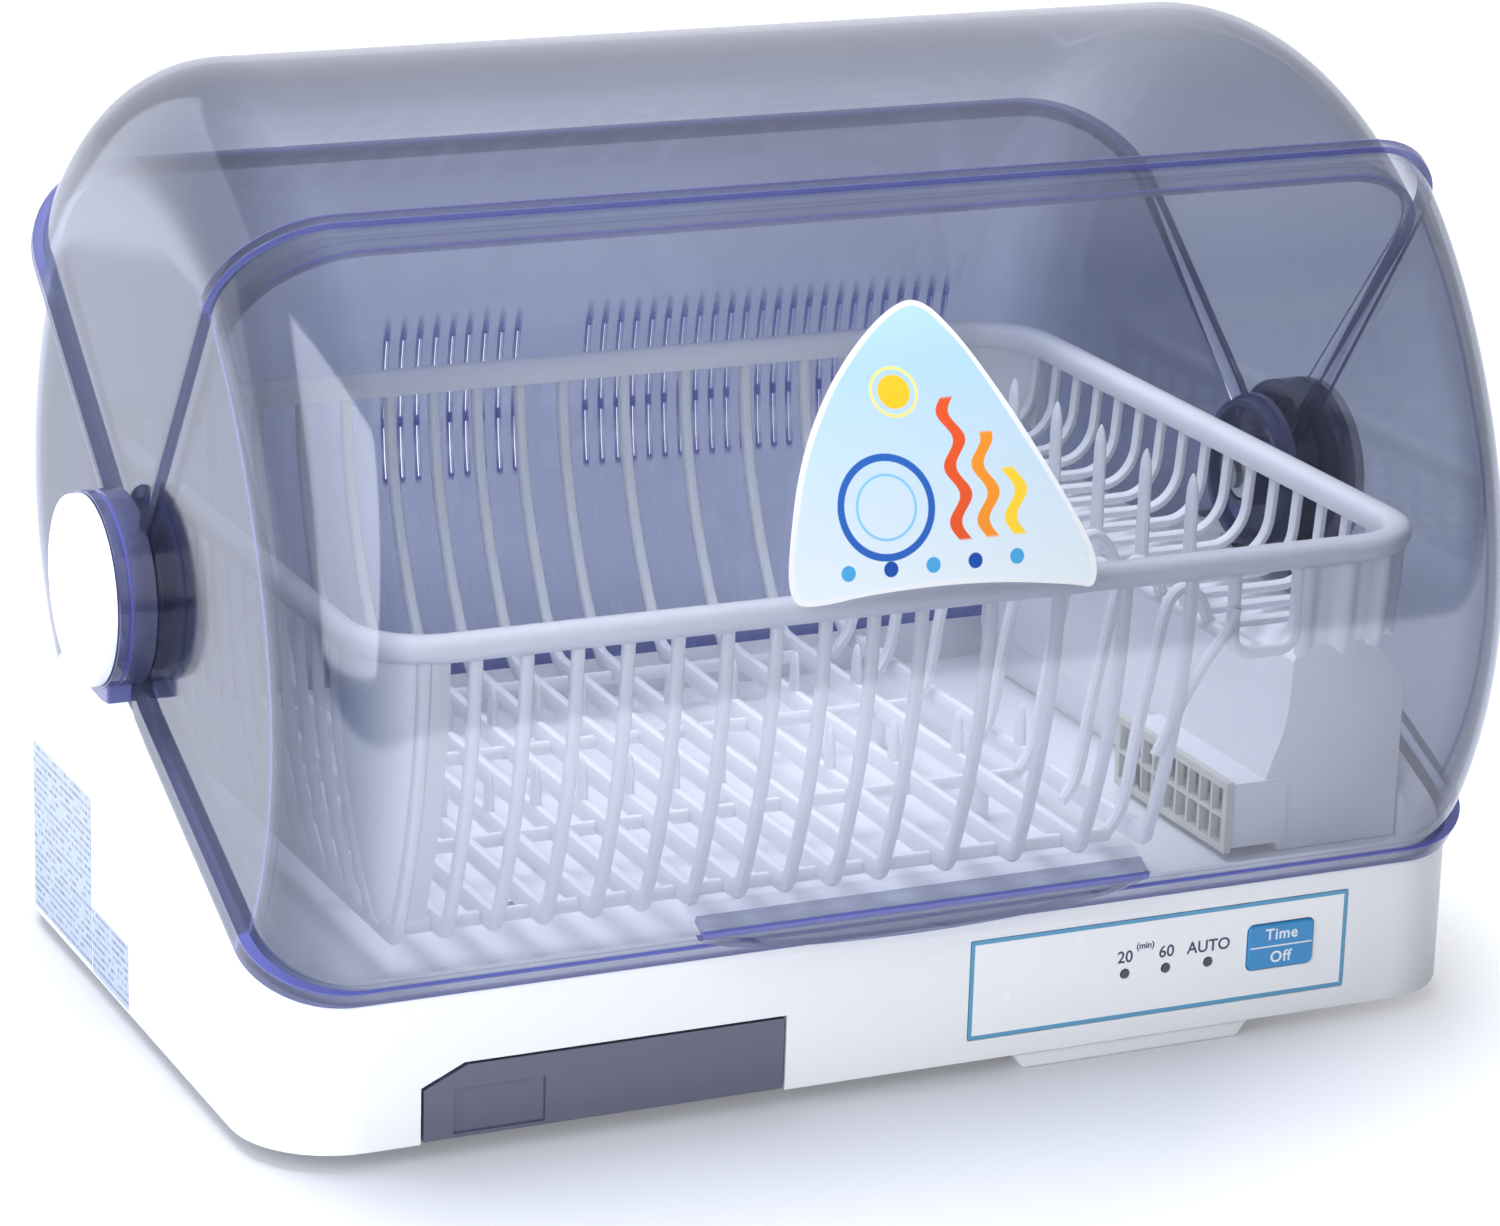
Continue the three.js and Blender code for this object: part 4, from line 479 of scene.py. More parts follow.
def label_foil(tree):
    """Pale blue foil with small grey print: rows 3 mm apart, each broken into word-like marks by a noise
    along it. The marks spell nothing."""
    _, y, z = add(tree, "SeparateXYZ", {0: add(tree, "TexCoord")["Object"]})
    rows = add(tree, "Math", {0: z, 1: 1 / (3.0 * MM)}, operation="MULTIPLY")[0]
    index = add(tree, "Math", {0: rows}, operation="FLOOR")[0]
    within = add(tree, "Math", {0: rows, 1: index}, operation="SUBTRACT")[0]
    middle = add(tree, "Math", {0: within, 1: 0.5}, operation="SUBTRACT")[0]
    off = add(tree, "Math", {0: middle}, operation="ABSOLUTE")[0]
    ink = add(tree, "MapRange", {"Value": off, "From Min": 0.26, "From Max": 0.18})[0]
    row = add(tree, "Math", {0: index, 1: 7.3}, operation="MULTIPLY")[0]
    for stretch, low, high in ((1500.0, 0.42, 0.5), (160.0, 0.38, 0.42)):
        along = add(tree, "Math", {0: y, 1: stretch}, operation="MULTIPLY")[0]
        spot = add(tree, "CombineXYZ", {0: along, 1: row})[0]
        noise = add(tree, "TexNoise", {"Vector": spot, "Scale": 1.0, "Detail": 0.0})[0]
        letter = add(tree, "MapRange", {"Value": noise, "From Min": low, "From Max": high})[0]
        ink = add(tree, "Math", {0: ink, 1: letter}, operation="MULTIPLY")[0]
    tone = add(tree, "MixRGB", {"Fac": ink, "Color1": "AEBEDA", "Color2": "5E6B84"})[0]
    return add(tree, "BsdfPrincipled", {"Base Color": tone, "Roughness": 0.35})[0]


# Lids

AXLE = (0.0, 4.0, 166.6)
BORE = 10.5  # radius of the hole round the axle
SHELLS = {
    "front": {"half": 236.0, "radius": 188.69, "corner": 33.0, "swell": 9.0, "lean": 0.0},
    "upper": {"half": 231.6, "radius": 184.89, "corner": 43.0, "swell": 0.0, "lean": 0.0},
    "rear": {"half": 227.2, "radius": 181.09, "corner": 48.0, "swell": 0.0, "lean": 1.0},
}
# the angles at which each shell starts and ends, from the front over the top
FRONT_FROM, FRONT_TO = -66.0, 55.4
UPPER_FROM, UPPER_TO = 51.8, 141.0
REAR_FROM, REAR_TO = 137.0, 219.0
LIP_AT = -27.2  # the angle of the finger lip's middle
# Y and Z where the base's slopes start
BASE_FRONT, BASE_BACK, BASE_PEAK = (-152.5, 61.0), (139.8, 67.0), 136.0
FRONT_SLOPE = math.tan(math.radians(24.07))
BACK_SLOPE = math.tan(math.radians(39.0))
GAP = 0.45  # height of a lid's lower edge over the base
INNER_MARK = 0.2  # an inner face shows this share of the outer face's marks
SIDE, ARC, FLAT = 0, 1, 2


def columns(flats, crease=False):
    """The places across a lid, from its right hub over the crown to its left hub: each is a share of the side
    wall's height, an angle in the rounded corner or an X on the crown, with its side's sign. A crease gives
    the corner's foot close-set places of its own."""
    shares = np.linspace(0, 1, 12, endpoint=False)
    arcs = np.linspace(0, np.pi / 2, 15)
    if crease:
        shares = np.concatenate([shares, [0.988, 0.995]])
        arcs = np.concatenate([arcs[:1], [0.02, 0.045], arcs[1:]])
    right = [(SIDE, t, 1) for t in shares] + [(ARC, a, 1) for a in arcs]
    left = [(kind, value, -1) for kind, value, _ in right[::-1]]
    return np.array(right + [(FLAT, x, 1) for x in sorted(flats, reverse=True)] + left)


def lid_place(shell, theta, cols, inset=0.0, half=None, radius=None):
    """X and radius over the axle of each place at angle theta in degrees. The corner grows by a bell curve
    about 28 degrees, and the rear cover's radius shrinks by the square of the angle past 172 degrees."""
    kind, value, sign = cols.T
    over = np.clip((theta - 172) / 44.5, 0, None)
    half = (half or shell["half"]) - inset - TRIM
    radius = (radius or shell["radius"]) - inset - TRIM - shell["lean"] * 14.6 * over**2
    corner = shell["corner"] + shell["swell"] * np.exp(-(((theta - 28) / 30) ** 2)) - inset
    x = np.where(kind == SIDE, half, np.where(kind == ARC, half - corner + corner * np.cos(value), value))
    r = np.where(kind == SIDE, BORE + (radius - corner - BORE) * value,
                 np.where(kind == ARC, radius - corner + corner * np.sin(value), radius))
    return x * sign, r


def about_axle(theta, r, x):
    """A place at angle theta round the axle, from the front over the top, at radius r and at X."""
    angle = np.radians(theta)
    return np.stack(np.broadcast_arrays(x, AXLE[1] - r * np.cos(angle), AXLE[2] + r * np.sin(angle)), -1)


def above_front(points):
    """Height over the base's front slope."""
    return points[..., 2] - (BASE_FRONT[1] + (points[..., 1] - BASE_FRONT[0]) * FRONT_SLOPE)


def above_base(points):
    """Height over the top of the base, which is the lower of its front slope, its back slope and its peak."""
    above_back = points[..., 2] - (BASE_BACK[1] + (BASE_BACK[0] - points[..., 1]) * BACK_SLOPE)
    return np.maximum(np.maximum(above_front(points), above_back), points[..., 2] - BASE_PEAK)


def angle_at(height, level, low, high, shell, cols):
    """The angle in each column where a height function comes to a level between two angles, found by halving,
    and how far over the level it starts."""
    a, b = np.full(len(cols), float(low)), np.full(len(cols), float(high))

    def value(theta):
        x, r = lid_place(shell, theta, cols)
        return height(about_axle(theta, r, x)) - level

    start = value(a)
    for _ in range(40):
        middle = (a + b) / 2
        same = np.sign(value(middle)) == np.sign(start)
        a, b = np.where(same, middle, a), np.where(same, b, middle)
    return a, start


def lid_skin(shell, cols, rows, wall):
    """A lid's grids and marks. Each row is (angles, mark, outward offset, inward offset, half width, radius),
    and what it leaves out is the shell's own. Marks are weaker on the side walls, where the frames are
    slimmer."""
    outer, inner, marks = [], [], []
    slim = np.where(cols[:, 0] == SIDE, 0.3, 1.0)
    for row in rows:
        theta, mark, out_by, in_by, half, radius = (*row, *(0.0, 0.0, None, None)[len(row) - 2 :])
        x, r = lid_place(shell, theta, cols, -out_by, half, radius)
        outer.append(about_axle(theta, r, x))
        x, r = lid_place(shell, theta, cols, wall + in_by)
        inner.append(about_axle(theta, r, x))
        marks.append(mark * slim)
    return np.array(outer), np.array(inner), np.array(marks)


def between(first, last, count):
    """Plain rows at angles spaced evenly from one row to another, without the two themselves."""
    return [(first + (last - first) * share, 0.0) for share in np.linspace(0, 1, count + 2)[1:-1]]


def from_edge(shell, cols, edge, distance, sign):
    """Angles at a distance along the surface from a lid's edge that lies at one angle. Within 40 mm of the
    axle the angle stays as it is at 40, so that a frame narrows into its hub."""
    theta = np.full(len(cols), float(edge))
    _, r = lid_place(shell, theta, cols)
    return theta + sign * np.degrees(distance / np.maximum(r, 40.0))


def front_lid_parts():
    """The front lid: a wide band over the base's edge, the skin, a raised frame along the upper edge and the
    hubs."""
    shell, wall, bead = SHELLS["front"], sizes().lid_wall / MM, sizes().bead_width / MM
    cols = columns(np.linspace(-186, 186, 25), crease=True)
    low, over = angle_at(above_front, GAP, FRONT_FROM, 30, shell, cols)
    low = np.where(over >= 0, FRONT_FROM, low)
    band, over = angle_at(above_front, 8.8, FRONT_FROM, 30, shell, cols)
    band = np.where(over >= 0, low, band)
    rows = [(low + (band - low) * share, mark, 0.0, 0.0, 239.9, 189.6)
            for share, mark in ((0, 0.6), (0.05, 0.6), (0.1, 0.04), (0.45, 0.0), (0.86, 0.04), (0.91, 1.0),
                                (1, 1.0))]
    rows += [(band + 0.06, 1.0), (band + 0.12, 0.1), (band + 0.6, 0.0)]
    rows += between(band + 0.6, from_edge(shell, cols, FRONT_TO, bead, -1) - 0.3, 34)
    rows += [(from_edge(shell, cols, FRONT_TO, away, -1), mark, high)
             for away, high, mark in ((bead + 0.5, 0.0, 0.0), (bead + 0.15, 0.0, 0.85), (bead, 0.0, 0.85),
                                      (bead - 0.35, 2.1, 0.85), (bead - 0.8, 2.2, 0.04), (bead / 2, 2.2, 0.0),
                                      (0.8, 2.2, 0.04), (0.35, 2.2, 0.9), (0.0, 1.9, 0.9))]
    outer, inner, marks = lid_skin(shell, cols, rows, wall)
    creased = ((cols[:, 0] == SIDE) & (cols[:, 1] > 0.99)) | ((cols[:, 0] == ARC) & (cols[:, 1] < 0.03))
    marks = np.maximum(marks, 0.75 * creased)
    parts = [walled(outer, inner, mark=marks, inner_mark=marks * INNER_MARK)]
    for side in (-1, 1):
        parts += [hub_ring(side), stop_block(side)]
    return parts


def hub_ring(side):
    """The tube round a pivot cap on the front lid's side wall, with a step and a groove turned into it."""
    profile = [(31.5, 236.2), (35.4, 236.2), (35.45, 241.0), (35.45, 244.6), (34.6, 245.1), (34.6, 245.9),
               (35.45, 246.4), (35.45, 249.6), (35.1, 249.95), (31.9, 249.95), (31.5, 249.5)]
    return turned(profile, side, [0.2, 0.3, 0.3, 0.5, 1.0, 1.0, 0.5, 0.4, 0.6, 0.6, 0.2])


def stop_block(side):
    """The block under the hub ring that rests on the base's shoulder: a bevelled prism, five-sided in Y and
    Z."""
    outline = np.array([(9.4, 134.0), (9.4, 129.1), (-6.0, 128.1), (-12.9, 129.1), (-12.9, 136.8)])
    centre = outline.mean(0)
    steps = [(0.0, 239.5), (0.93, 239.5), (1.0, 240.1), (1.0, 248.3), (0.93, 248.9), (0.0, 248.9)]
    return rings([[(side * x, *(centre + (p - centre) * share)) for p in outline] for share, x in steps],
                 mark=0.7)


def handle_part():
    """The finger lip: a ledge that stands off the lid's lower edge, rounded along its rim, and a lens-shaped
    skirt whose depth follows the root of one less the square of the place along it."""
    radius = SHELLS["front"]["radius"]
    rim = radius + 8.0
    share = np.sin(np.linspace(-np.pi / 2, np.pi / 2, 49))
    x = 87.0 * share
    along = lambda mm: np.degrees(mm / radius)
    top, under = LIP_AT + along(1.3), LIP_AT - along(1.3)
    drop = under - along(16.0) * np.sqrt(np.clip(1 - (share * 0.98) ** 2, 0, None))
    rows = [(188.0, top, 188.0, under, 0.1),
            (rim - 4.0, top, rim - 4.0, under, 0.04),
            (rim - 1.5, top, rim - 3.2, under, 0.05),
            (rim - 0.9, top, rim - 2.8, under, 1.0),
            (rim - 0.2, top - along(0.3), rim - 2.7, under - along(0.05), 1.0),
            (rim, top - along(1.0), rim - 2.6, under - along(0.1), 1.0),
            (rim, LIP_AT - along(0.8), rim - 2.6, under - along(0.15), 0.9)]
    for t, mark in ((0.06, 0.05), (0.3, 0.02), (0.6, 0.02), (0.9, 0.02), (0.96, 0.5), (1.0, 0.5)):
        level = under + (drop - under) * t - along(0.2)
        rows.append((rim - 2.8 * t, level, rim - 2.6 - 2.8 * t, level, mark))
    outer = np.array([about_axle(angle, r, x) for r, angle, _, _, _ in rows])
    inner = np.array([about_axle(angle, r, x) for _, _, r, angle, _ in rows])
    return walled(outer, inner, mark=np.array([[row[-1]] for row in rows]))


def upper_lid_parts():
    """The upper lid: a frame raised inwards along its front edge and one raised outwards along its back
    edge."""
    shell, wall, bead = SHELLS["upper"], sizes().lid_wall / MM, sizes().bead_width / MM
    cols = columns(np.linspace(-186, 186, 13))
    rows = [(from_edge(shell, cols, UPPER_FROM, away, 1), mark, 0.0, deep)
            for away, deep, mark in ((0, 1.1, 0.95), (0.5, 1.1, 0.95), (0.9, 1.1, 0.05), (bead / 2, 1.1, 0.0),
                                     (bead - 0.8, 1.1, 0.05), (bead - 0.3, 1.1, 0.5), (bead, 0.0, 0.5),
                                     (bead + 0.5, 0.0, 0.0))]
    rows += between(rows[-1][0], from_edge(shell, cols, UPPER_TO, bead, -1) - 0.4, 24)
    rows += [(from_edge(shell, cols, UPPER_TO, away, -1), mark, high)
             for away, high, mark in ((bead + 0.5, 0.0, 0.0), (bead, 0.0, 0.6), (bead - 0.3, 3.6, 0.6),
                                      (bead - 0.8, 3.7, 0.05), (0.9, 3.7, 0.05), (0.4, 3.7, 0.9),
                                      (0.0, 3.5, 0.9))]
    outer, inner, marks = lid_skin(shell, cols, rows, wall)
    return [walled(outer, inner, mark=marks, inner_mark=marks * INNER_MARK)]


def rear_cover_parts():
    """The fixed rear cover, with two rows of narrow air slots through its back, a thin bar between them."""
    shell, wall = SHELLS["rear"], sizes().lid_wall / MM
    slots = np.concatenate([-71.4 + 7.0 * np.arange(9), 15.6 + 7.0 * np.arange(25)])[:, None] + [0, 1.25]
    slots = slots[slots[:, 1] < 178]
    rest = [-178, -150, -125, -100, -85, 0, 178]
    cols = columns(np.unique(np.concatenate([slots.reshape(-1), (slots + [-0.5, 0.5]).reshape(-1), rest])))
    end, _ = angle_at(above_base, GAP, REAR_FROM, REAR_TO, shell, cols)
    x, r = lid_place(shell, REAR_TO, cols)
    end = np.where(above_base(about_axle(REAR_TO, r, x)) >= GAP, REAR_TO, end)
    levels = [169.4, 169.9, 172.5, 176.5, 179.9, 181.1, 184.5, 187.8]
    level_marks = (0.8, 0.8, 0.6, 0.25, 0.9, 0.9, 0.25, 0.9)
    rows = [(REAR_FROM + a, mark) for a, mark in ((0.0, 0.9), (0.15, 0.9), (0.3, 0.05), (2.0, 0.0),
                                                  (4.5, 0.0))]
    rows += [(a, 0.0) for a in [*np.linspace(144.5, 166.0, 10), *levels]]
    rows = [(np.minimum(a, end), mark) for a, mark in rows]
    tail = np.minimum(188.8, end)
    rows += [(tail + (end - tail) * t, 0.0 if t < 0.97 else 0.8) for t in (0.0, 0.25, 0.5, 0.75, 0.97, 1.0)]
    outer, inner, marks = lid_skin(shell, cols, rows, wall)

    angles = np.array([row[0][len(cols) // 2] for row in rows])
    kind, value, _ = cols.T
    crown = (kind[:-1] == FLAT) & (kind[1:] == FLAT)
    middle_x = (value[:-1, None] + value[1:, None]) / 2
    middle = (angles[:-1] + angles[1:]) / 2
    in_slot = crown & ((middle_x > slots[:, 0]) & (middle_x < slots[:, 1])).any(1)
    open_rows = ((middle > levels[0]) & (middle < levels[4])) | ((middle > levels[5]) & (middle < levels[7]))
    keep = ~(open_rows[:, None] & in_slot)
    touched = np.pad(in_slot, (0, 1)) | np.pad(in_slot, (1, 0))
    near = np.zeros_like(marks)
    for level, mark in zip(levels, level_marks):
        near[np.ix_(np.isclose(angles, level), touched)] = mark
    parts = [walled(outer, inner, keep, np.maximum(marks, near), np.maximum(marks * INNER_MARK, near))]
    plate = shell["half"] - wall - 0.25, shell["half"] + 0.2
    for side in (-1, 1):
        parts.append(turned([(BORE, plate[0]), (30.8, plate[0]), (30.8, plate[1]), (BORE, plate[1])], side,
                            [0.1, 0.4, 0.4, 0.1]))
        parts.append(turned([(26.1, 219.7), (28.9, 219.7), (28.9, 225.0), (26.1, 225.0)], side, 0.35))
        parts.append(turned([(10.6, 217.2), (13.4, 217.2), (13.4, 225.0), (10.6, 225.0)], side, 0.25))
    return parts


# Basket

RIM_Z, FLOOR_Z = 185.4, 75.0
HALF, FRONT, BACK = 203.6, 155.0, 169.5
CORNER = 28.0
# how far each wall leans in on its way from the rim to the floor
SIDE_LEAN, FRONT_LEAN, BACK_LEAN = 16, 24, 46
X_AXIS, Y_AXIS, Z_AXIS = np.eye(3)
RIBS = np.concatenate([-184.6 + 18.46 * np.arange(11), 26.8 * np.arange(1, 5)])
LOOPS = -120 + 17.6 * np.arange(16)
WALL_LEVELS = np.array([0.0, 0.2, 0.4, 0.58, 0.74, 0.86, 0.94])
SHELF_Z, SHELF_FROM, SHELF_TO, CREST_Z = 150.0, 138.0, 186.0, 167.0


def wall_lean(z, inset):
    """How far a wall bar leans in at a height: the inset times the square of its depth's share under the
    rim."""
    return inset * ((RIM_Z - z) / (RIM_Z - FLOOR_Z)) ** 2


def end_wall(sign, z):
    """Y of the front wall, by a sign below 0, or of the back wall, at a height."""
    return -FRONT + wall_lean(z, FRONT_LEAN) if sign < 0 else BACK - wall_lean(z, BACK_LEAN)


def hoop(x):
    """A bar from the front rim down, along the floor as a tall blade with a rounded foot, and up to the back
    rim."""
    z = RIM_Z - WALL_LEVELS * (RIM_Z - FLOOR_Z)
    front, back = (np.stack([np.full_like(z, x), end_wall(sign, z), z], 1) for sign in (-1, 1))
    feet = [(x, -FRONT + 24.6, FLOOR_Z + 1.2), (x, -FRONT + 30, FLOOR_Z + 0.6), (x, BACK - 53, FLOOR_Z)]
    path = smoothed(np.concatenate([front, feet, back[::-1]]))
    deep = np.clip((FLOOR_Z + 6 - path[:, 2]) / 5, 0, 1)
    return swept(path, X_AXIS, 2.35, 2.3 + deep * 2.1, 10, 2.8)


def left_bar(y, foot):
    """A bar from the left rim down to a foot, and a little way along the floor."""
    z = RIM_Z - WALL_LEVELS * (RIM_Z - foot)
    path = np.stack([-HALF + wall_lean(z, SIDE_LEAN), np.full_like(z, y), z], 1)
    end = [(RIBS[0] - 1, y, foot + 0.6), (RIBS[0] + 3, y, foot)]
    return swept(smoothed(np.concatenate([path, end])), Y_AXIS, 2.3, 1.9, 8, 2.6)


def floor_level(y):
    """Height of the floor, or past its ends of the end walls, by the same square law as the walls' lean."""
    front = np.sqrt(np.clip((FRONT + y) / FRONT_LEAN, 0, 1))
    back = np.sqrt(np.clip((BACK - y) / BACK_LEAN, 0, 1))
    return RIM_Z - (RIM_Z - FLOOR_Z) * min(front, back)


def right_bar(y):
    """A slat of the shelf that bends up through a quarter turn into the right wall and on to the rim."""
    turn = HALF - SHELF_TO
    arc = [(SHELF_TO + (turn - 2.3) * math.sin(a), y, SHELF_Z + turn * (1 - math.cos(a)))
           for a in np.linspace(0, np.pi / 2, 7)]
    path = [(SHELF_FROM - 2, y, SHELF_Z), (SHELF_FROM + 20, y, SHELF_Z), *arc, (HALF - 1, y, RIM_Z)]
    return swept(smoothed(path), Y_AXIS, 2.4, 1.9, 8, 2.6)


def crest_bar(y, start):
    """A bar of the shelf's inner wall: out of the floor, up in an S, over the crest and down to the shelf."""
    path = [(start, y, FLOOR_Z), (98, y, FLOOR_Z + 0.5), (104, y, FLOOR_Z + 9), (107, y, FLOOR_Z + 34),
            (113, y, FLOOR_Z + 64), (117, y, CREST_Z - 6), (124, y, CREST_Z), (131, y, CREST_Z - 5),
            (SHELF_FROM - 2, y, SHELF_Z)]
    return swept(smoothed(path, 3), Y_AXIS, 2.4, 2.2, 8, 2.6)


def floor_bar(y):
    path = np.linspace((RIBS[0], y, FLOOR_Z - 1), (98, y, FLOOR_Z - 1), 4)
    return swept(path, Y_AXIS, 1.9, 2.6, 8, 3.0)


def rim_part():
    """The rolled rim, round a rectangle with rounded corners: a rounded lip, fuller on its outside and
    flatter under."""
    quarter = np.linspace(0, np.pi / 2, 13)
    x, front, back = HALF - CORNER, CORNER - FRONT, BACK - CORNER
    middles = np.array([(x, front, -np.pi / 2), (x, back, 0), (-x, back, np.pi / 2), (-x, front, np.pi)])
    across, up, start = middles.T[..., None]
    turn = quarter + start
    loop = np.stack([across + CORNER * np.cos(turn), up + CORNER * np.sin(turn), np.full_like(turn, RIM_Z)],
                    -1)
    loop = loop.reshape(-1, 3)
    along = np.roll(loop, -1, 0) - np.roll(loop, 1, 0)
    along /= np.linalg.norm(along, axis=1, keepdims=True)
    outward = np.cross(along, Z_AXIS)
    width, height = sizes().rim_width / MM / 2 - 0.02, 4.97
    across, up = np.array([(1.0, 0.3), (0.86, 0.72), (0.5, 0.95), (0.0, 1.0), (-0.6, 0.9), (-0.9, 0.62),
                           (-1.0, 0.2),
                           (-1.0, -0.55), (-0.82, -0.9), (-0.35, -1.0), (0.2, -0.98), (0.6, -0.82),
                           (0.92, -0.45),
                           (1.0, -0.1)]).T[..., None]
    return rings(loop[:, None] + outward[:, None] * (across * width) + Z_AXIS * (up * height), closed=True)


def corner_sheet(sign_x, sign_y, reach, bottom, ribs=False):
    """A bent sheet that follows the rim round a corner. On the shelf's corners it carries upright half-round
    ribs and its lower edge is scalloped: its outward offset and its depth follow a cosine of the way along
    it."""
    end, inset = (FRONT, FRONT_LEAN) if sign_y < 0 else (BACK, BACK_LEAN)
    flat = np.linspace(0, reach, 13)[:-1]
    quarter = np.linspace(0, np.pi / 2, 25)
    turn = np.concatenate([np.zeros(len(flat)), quarter])
    x = np.concatenate([flat - reach, CORNER * np.sin(quarter)]) + HALF - CORNER
    y = end - CORNER + CORNER * np.cos(turn)
    way = np.concatenate([flat, reach + CORNER * quarter])
    wave = np.clip(np.cos(way / way[-1] * 2 * np.pi * 4.0 - 0.6), 0, 1) ** 0.8 * ribs
    share = np.linspace(0, 1, 9)[:, None]
    z = RIM_Z - share * (RIM_Z - bottom) - wave * 4.0 * share**4
    lean_x, lean_y = wall_lean(z, SIDE_LEAN), wall_lean(z, inset)

    def face(offset):
        return np.stack(np.broadcast_arrays(sign_x * (x - np.sin(turn) * (lean_x + offset)),
                                            sign_y * (y - np.cos(turn) * (lean_y + offset)), z), -1)
    return walled(face(-1.1 - wave * 2.2), face(1.1))


def prong(x, y, z, height, width, thick, top=0.62):
    """A flat prong: rings of a superellipse that narrow as they rise, and close over a round top."""
    t = np.array([0.0, 0.0, 0.3, 0.6, 0.8, 0.9, 0.96, 1.0, 1.0])[:, None]
    scale = np.array([0.0, 1.0, 0.92, 0.82, 0.74, 0.62, 0.4, 0.12, 0.0])[:, None]
    scale = scale * np.where(t > 0.75, top / 0.74, 1) ** 0.5
    u, v = section(10, 2.6)
    return rings(np.stack(np.broadcast_arrays(x + thick / 2 * u * np.minimum(scale * 1.25, 1),
                                              y + width / 2 * v * scale, z + height * t), -1))


def window_frame(sign):
    """The rounded window in each end wall beside the shelf: a U-shaped bar from the rim down and back up, and
    a bar that bends in under it."""
    y = -FRONT + 2.2 if sign < 0 else BACK - 2.2
    left, right, turn = 126.0, 152.0, 7.0
    sides = SHELF_Z + turn + 8
    bend = [(x + out * turn * math.cos(a), y, SHELF_Z + turn * (1 - math.sin(a))) for x, out, way in
            ((left + turn, -1, 1), (right - turn, 1, -1)) for a in np.linspace(0, np.pi / 2, 6)[::way]]
    path = np.array([(left, y, RIM_Z), (left, y, sides), *bend, (right, y, sides), (right, y, RIM_Z)])
    under = [(x, end_wall(sign, z), z) for x, z in ((102, 112), (110, 136), (118, 152), (124, 160),
                                                    (left, 168))]
    return [swept(path, Y_AXIS, 2.3, 2.3, 10, 2.6), swept(smoothed(under), Y_AXIS, 2.2, 2.0, 8, 2.4)]


def basket_parts():
    """The basket: rim, hoops, bars round the bowl and the shelf, prongs, corner sheets, windows and four
    feet."""
    parts = [rim_part()] + [hoop(x) for x in RIBS]
    for j, y in enumerate(LOOPS):
        parts += [left_bar(y, floor_level(y)), right_bar(y)]
        if j in (0, 4, 9, 13):
            parts.append(floor_bar(y))
        if j in (0, 2, 4, 6, 9, 11, 13):
            parts.append(crest_bar(y, RIBS[-1] - 10))
    parts += [prong(x, LOOPS[j], FLOOR_Z, 20, 8, 3) for j in (5, 10) for x in RIBS]
    rail = SHELF_FROM - 2.3
    ends = (rail, 2.3 - FRONT, SHELF_Z), (rail, BACK - 2.3, SHELF_Z)
    parts.append(swept(np.linspace(*ends, 24), X_AXIS, 2.3, 2.3, 10, 3))
    parts += [prong(rail, y, SHELF_Z, 52.8, 9, 3, 0.9) for y in LOOPS[1::2]]
    for sign in (-1, 1):
        parts.append(corner_sheet(-1, sign, HALF - CORNER + RIBS[0] + 1, FLOOR_Z + 7))
        parts.append(corner_sheet(1, sign, HALF - CORNER - 153, SHELF_Z, ribs=True))
        parts += window_frame(sign)
    parts += [swept([(x, y, z) for z in (58.4, 60, 70, FLOOR_Z)], X_AXIS, 4.0, 4.0, 12, 4)
              for x in (RIBS[1], RIBS[-2]) for y in (LOOPS[4], LOOPS[9])]
    return parts


# Card

CARD_RADIUS = 188.7  # the card's outline is drawn flat, as X and millimetres round the axle at this radius


def card_outline():
    """The rounded triangle: corners given by X and the angle round the axle, cut three times."""
    loop = np.array([(-64, 9.8), (-64, 13.9), (-57, 22.9), (-44, 30.0), (-28, 35.4), (-12, 39.2), (0, 40.3),
                     (10, 36.6),
                     (24, 28.4), (40, 19.0), (51.6, 12.1), (53.0, 9.4), (51, 7.6), (45, 8.2), (10, 9.6),
                     (-30, 9.6),
                     (-58, 8.6)], float)
    loop[:, 1] = np.radians(loop[:, 1]) * CARD_RADIUS
    for _ in range(3):
        loop = cut(np.concatenate([loop, loop[:1]]))
    return loop


def build_card():
    """The card: a rounded triangle that lies on the lid. Its grid runs from its middle out to its outline in
    rings. Its own places, for the print, are X, the way round the axle and the distance from the outline."""
    loop = card_outline()
    centre = loop.mean(0)
    shares = np.concatenate([np.linspace(0, 0.9, 12), [0.95, 0.98, 1.0]])
    flat = centre + (loop[None] - centre) * shares[:, None, None]
    stand = sizes().card_stand / MM

    def face(lift):
        return about_axle(np.degrees(flat[..., 1] / CARD_RADIUS), SHELLS["front"]["radius"] - TRIM + lift,
                          flat[..., 0])
    card = rings(np.concatenate([face(stand * 0.2 + 0.02), face(stand + 0.25)[::-1]]))
    mesh = make("front_card", [card], "front_lid", [material("Printed coated card", printed_card),
                                                    moulded("Plain coated card", "E4E7EC", 0.4, 0.5,
                                                            0.03)]).data
    for polygon in mesh.polygons:
        outward = polygon.center - Vector(AXLE) * MM
        polygon.material_index = int(polygon.normal.y * outward.y + polygon.normal.z * outward.z < 0)
    co = np.zeros(len(mesh.vertices) * 3, np.float32)
    mesh.vertices.foreach_get("co", co)
    x, y, z = co.reshape(-1, 3).T / MM
    u, v = x, np.arctan2(z - AXLE[2], AXLE[1] - y) * CARD_RADIUS
    gap = np.linalg.norm(np.stack([u, v], 1)[:, None] - loop[None], axis=2).min(1)
    places = np.stack([u, v, gap], 1).astype(np.float32)
    mesh.attributes.new("card_place", "FLOAT_VECTOR", "POINT").data.foreach_set("vector", places.reshape(-1))


# Stage

